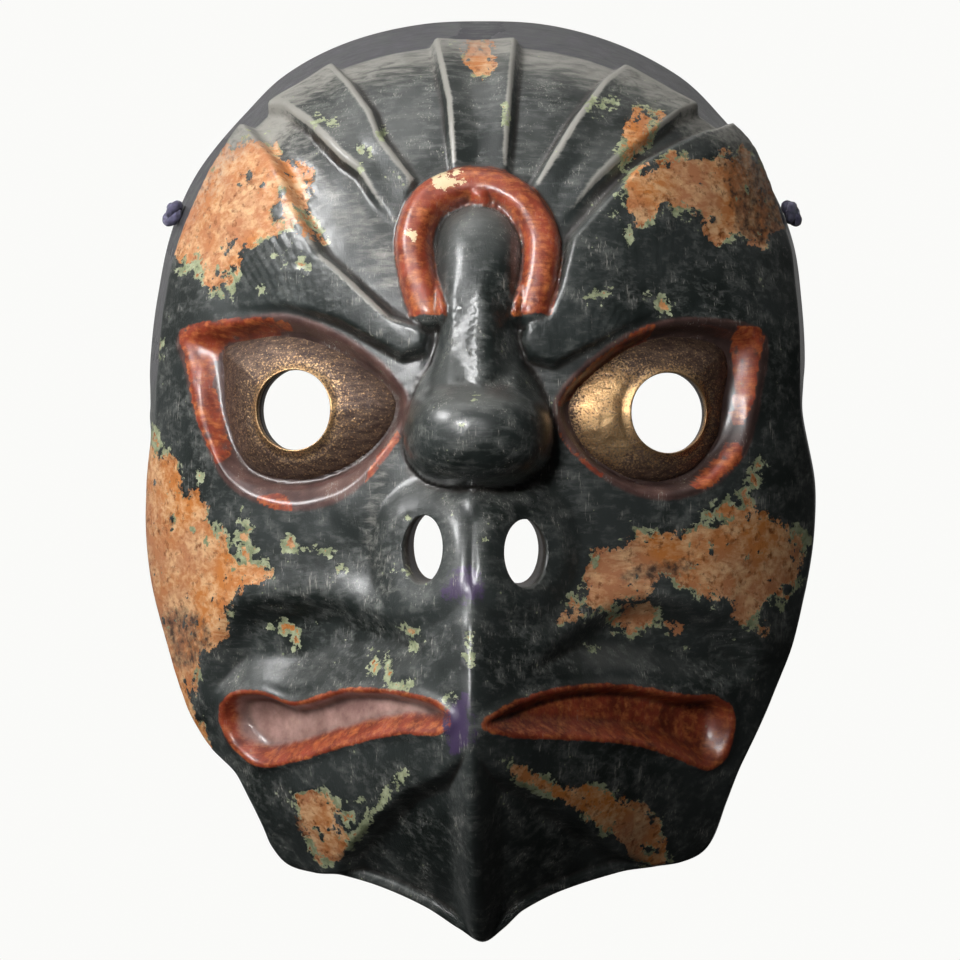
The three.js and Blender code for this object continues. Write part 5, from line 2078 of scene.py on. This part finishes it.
# ------------------------------------------------------------ studio
@dataclass(frozen=True)
class Softbox:
    """One square softbox; lengths in metres, power in watts, spread of its beam in degrees."""

    name: str
    place: tuple[float, float, float]
    aim: tuple[float, float, float]
    side: float
    power: float
    spread: float = 180.0

    def build(self) -> bpy.types.Object:
        """Hangs the softbox.

        Returns:
            The object that holds the light.
        """
        lamp = bpy.data.lights.new(self.name, "AREA")
        lamp.shape, lamp.size, lamp.energy = "SQUARE", self.side, self.power
        lamp.spread = math.radians(self.spread)
        holder = bpy.data.objects.new(self.name, lamp)
        holder.location = self.place
        holder.rotation_euler = (Vector(self.aim) - Vector(self.place)).to_track_quat("-Z", "Y").to_euler()
        bpy.context.scene.collection.objects.link(holder)
        return holder


@dataclass
class Studio:
    """Plain pale floor and soft light, strongest from the upper left."""

    floor_drop: float = 0.3
    floor_radii: tuple[float, ...] = (0.02, 0.5, 1.5)
    floor_around: int = 96
    floor_glow: float = 0.5
    pale: str = "#f2f2f0"
    air_glow: float = 1.08
    front_lights: tuple[Softbox, ...] = (
        Softbox("window_upper_left", (-0.78, -0.58, 0.54), (-0.05, -0.05, -0.05), 0.4, 0.8, 45.0),
        Softbox("front_sheen", (-0.26, -0.95, 0.2), (-0.02, -0.07, -0.06), 0.18, 0.13, 24.0),
        Softbox("sky_above", (-0.15, -0.3, 0.75), (0.0, -0.05, 0.0), 0.4, 1.0),
    )
    back_fill: Softbox = Softbox("back_fill", (0.1, 1.3, 0.2), (0.0, -0.04, -0.1), 0.8, 9.0)

    def fill_air(self) -> None:
        """Surrounds the object with pale air, whose own light is faint and comes from above and behind."""
        world = bpy.data.worlds.new("studio_air")
        bpy.context.scene.world = world
        world.use_nodes = True
        world.node_tree.nodes.clear()
        add = partial(node, world.node_tree)
        seen = add("LightPath", out="Is Camera Ray")
        way = add("TexCoord", out="Generated")
        above = add("VectorMath", {"operation": "DOT_PRODUCT"}, {0: way, 1: (-0.25, 0.62, 0.74)}, "Value")
        spread = {"From Min": 0.1, "From Max": 1.0, "To Min": 0.015, "To Max": 0.4}
        fill = add("MapRange", {}, {"Value": above, **spread})
        strength = add("Mix", {"data_type": "FLOAT"}, {0: seen, 2: fill, 3: self.air_glow})
        air = add("Background", {}, {"Color": linear(self.pale), "Strength": strength})
        add("OutputWorld", {}, {"Surface": air})

    def lay_floor(self) -> bpy.types.Object:
        """Lays the floor, which the object's shadow side and its gloss don't see.

        Returns:
            The floor.
        """
        low = CAD_BOX[0][2] - self.floor_drop
        count = self.floor_around
        turn = np.arange(count) / count * 2 * math.pi
        rows = [
            np.stack([r * np.cos(turn), r * np.sin(turn), np.full(count, low)], axis=1) / MM
            for r in self.floor_radii
        ]
        faces = tube_faces(len(rows), count, False)[:-2] + [tuple(range(count))]
        floor = mesh_object("pale_floor", np.concatenate(rows), faces)
        paper = bpy.data.materials.new("pale_paper")
        paper.use_nodes = True
        shader = paper.node_tree.nodes["Principled BSDF"]
        shader.inputs["Base Color"].default_value = linear(self.pale)
        shader.inputs["Roughness"].default_value = 0.9
        shown = node(paper.node_tree, "LightPath", out="Is Camera Ray")
        shown = node(paper.node_tree, "Math", MULTIPLY, {0: shown, 1: self.floor_glow})
        paper.node_tree.links.new(shown, shader.inputs["Emission Strength"])
        floor.data.materials.append(paper)
        floor.visible_diffuse = False
        floor.visible_glossy = False
        return floor

    def build(self) -> None:
        """Makes the surroundings, the floor and the lights."""
        self.fill_air()
        self.lay_floor()
        for softbox in self.front_lights:
            softbox.build()
        self.back_fill.build().visible_glossy = False
        bpy.context.scene.view_settings.view_transform = "Standard"


def main() -> None:
    """Builds the camera, the cord, the shell and the eyes, and reports each piece."""
    logging.basicConfig(level=logging.INFO, format="%(message)s")
    relief = Relief()
    Viewpoint().build()
    for piece in HangingCord().build(relief):
        log.info("%s: %d faces", piece.name, len(piece.data.polygons))
    shell = CarvedShell(relief).build(PaintedWood().build())
    log.info("%s: %d faces", shell.name, len(shell.data.polygons))
    gilt = GiltMetal().build()
    for side in (0, 1):
        eye = GiltEye(relief, side).build(gilt)
        log.info("%s: %d faces", eye.name, len(eye.data.polygons))
    Studio().build()


if __name__ == "__main__":
    main()
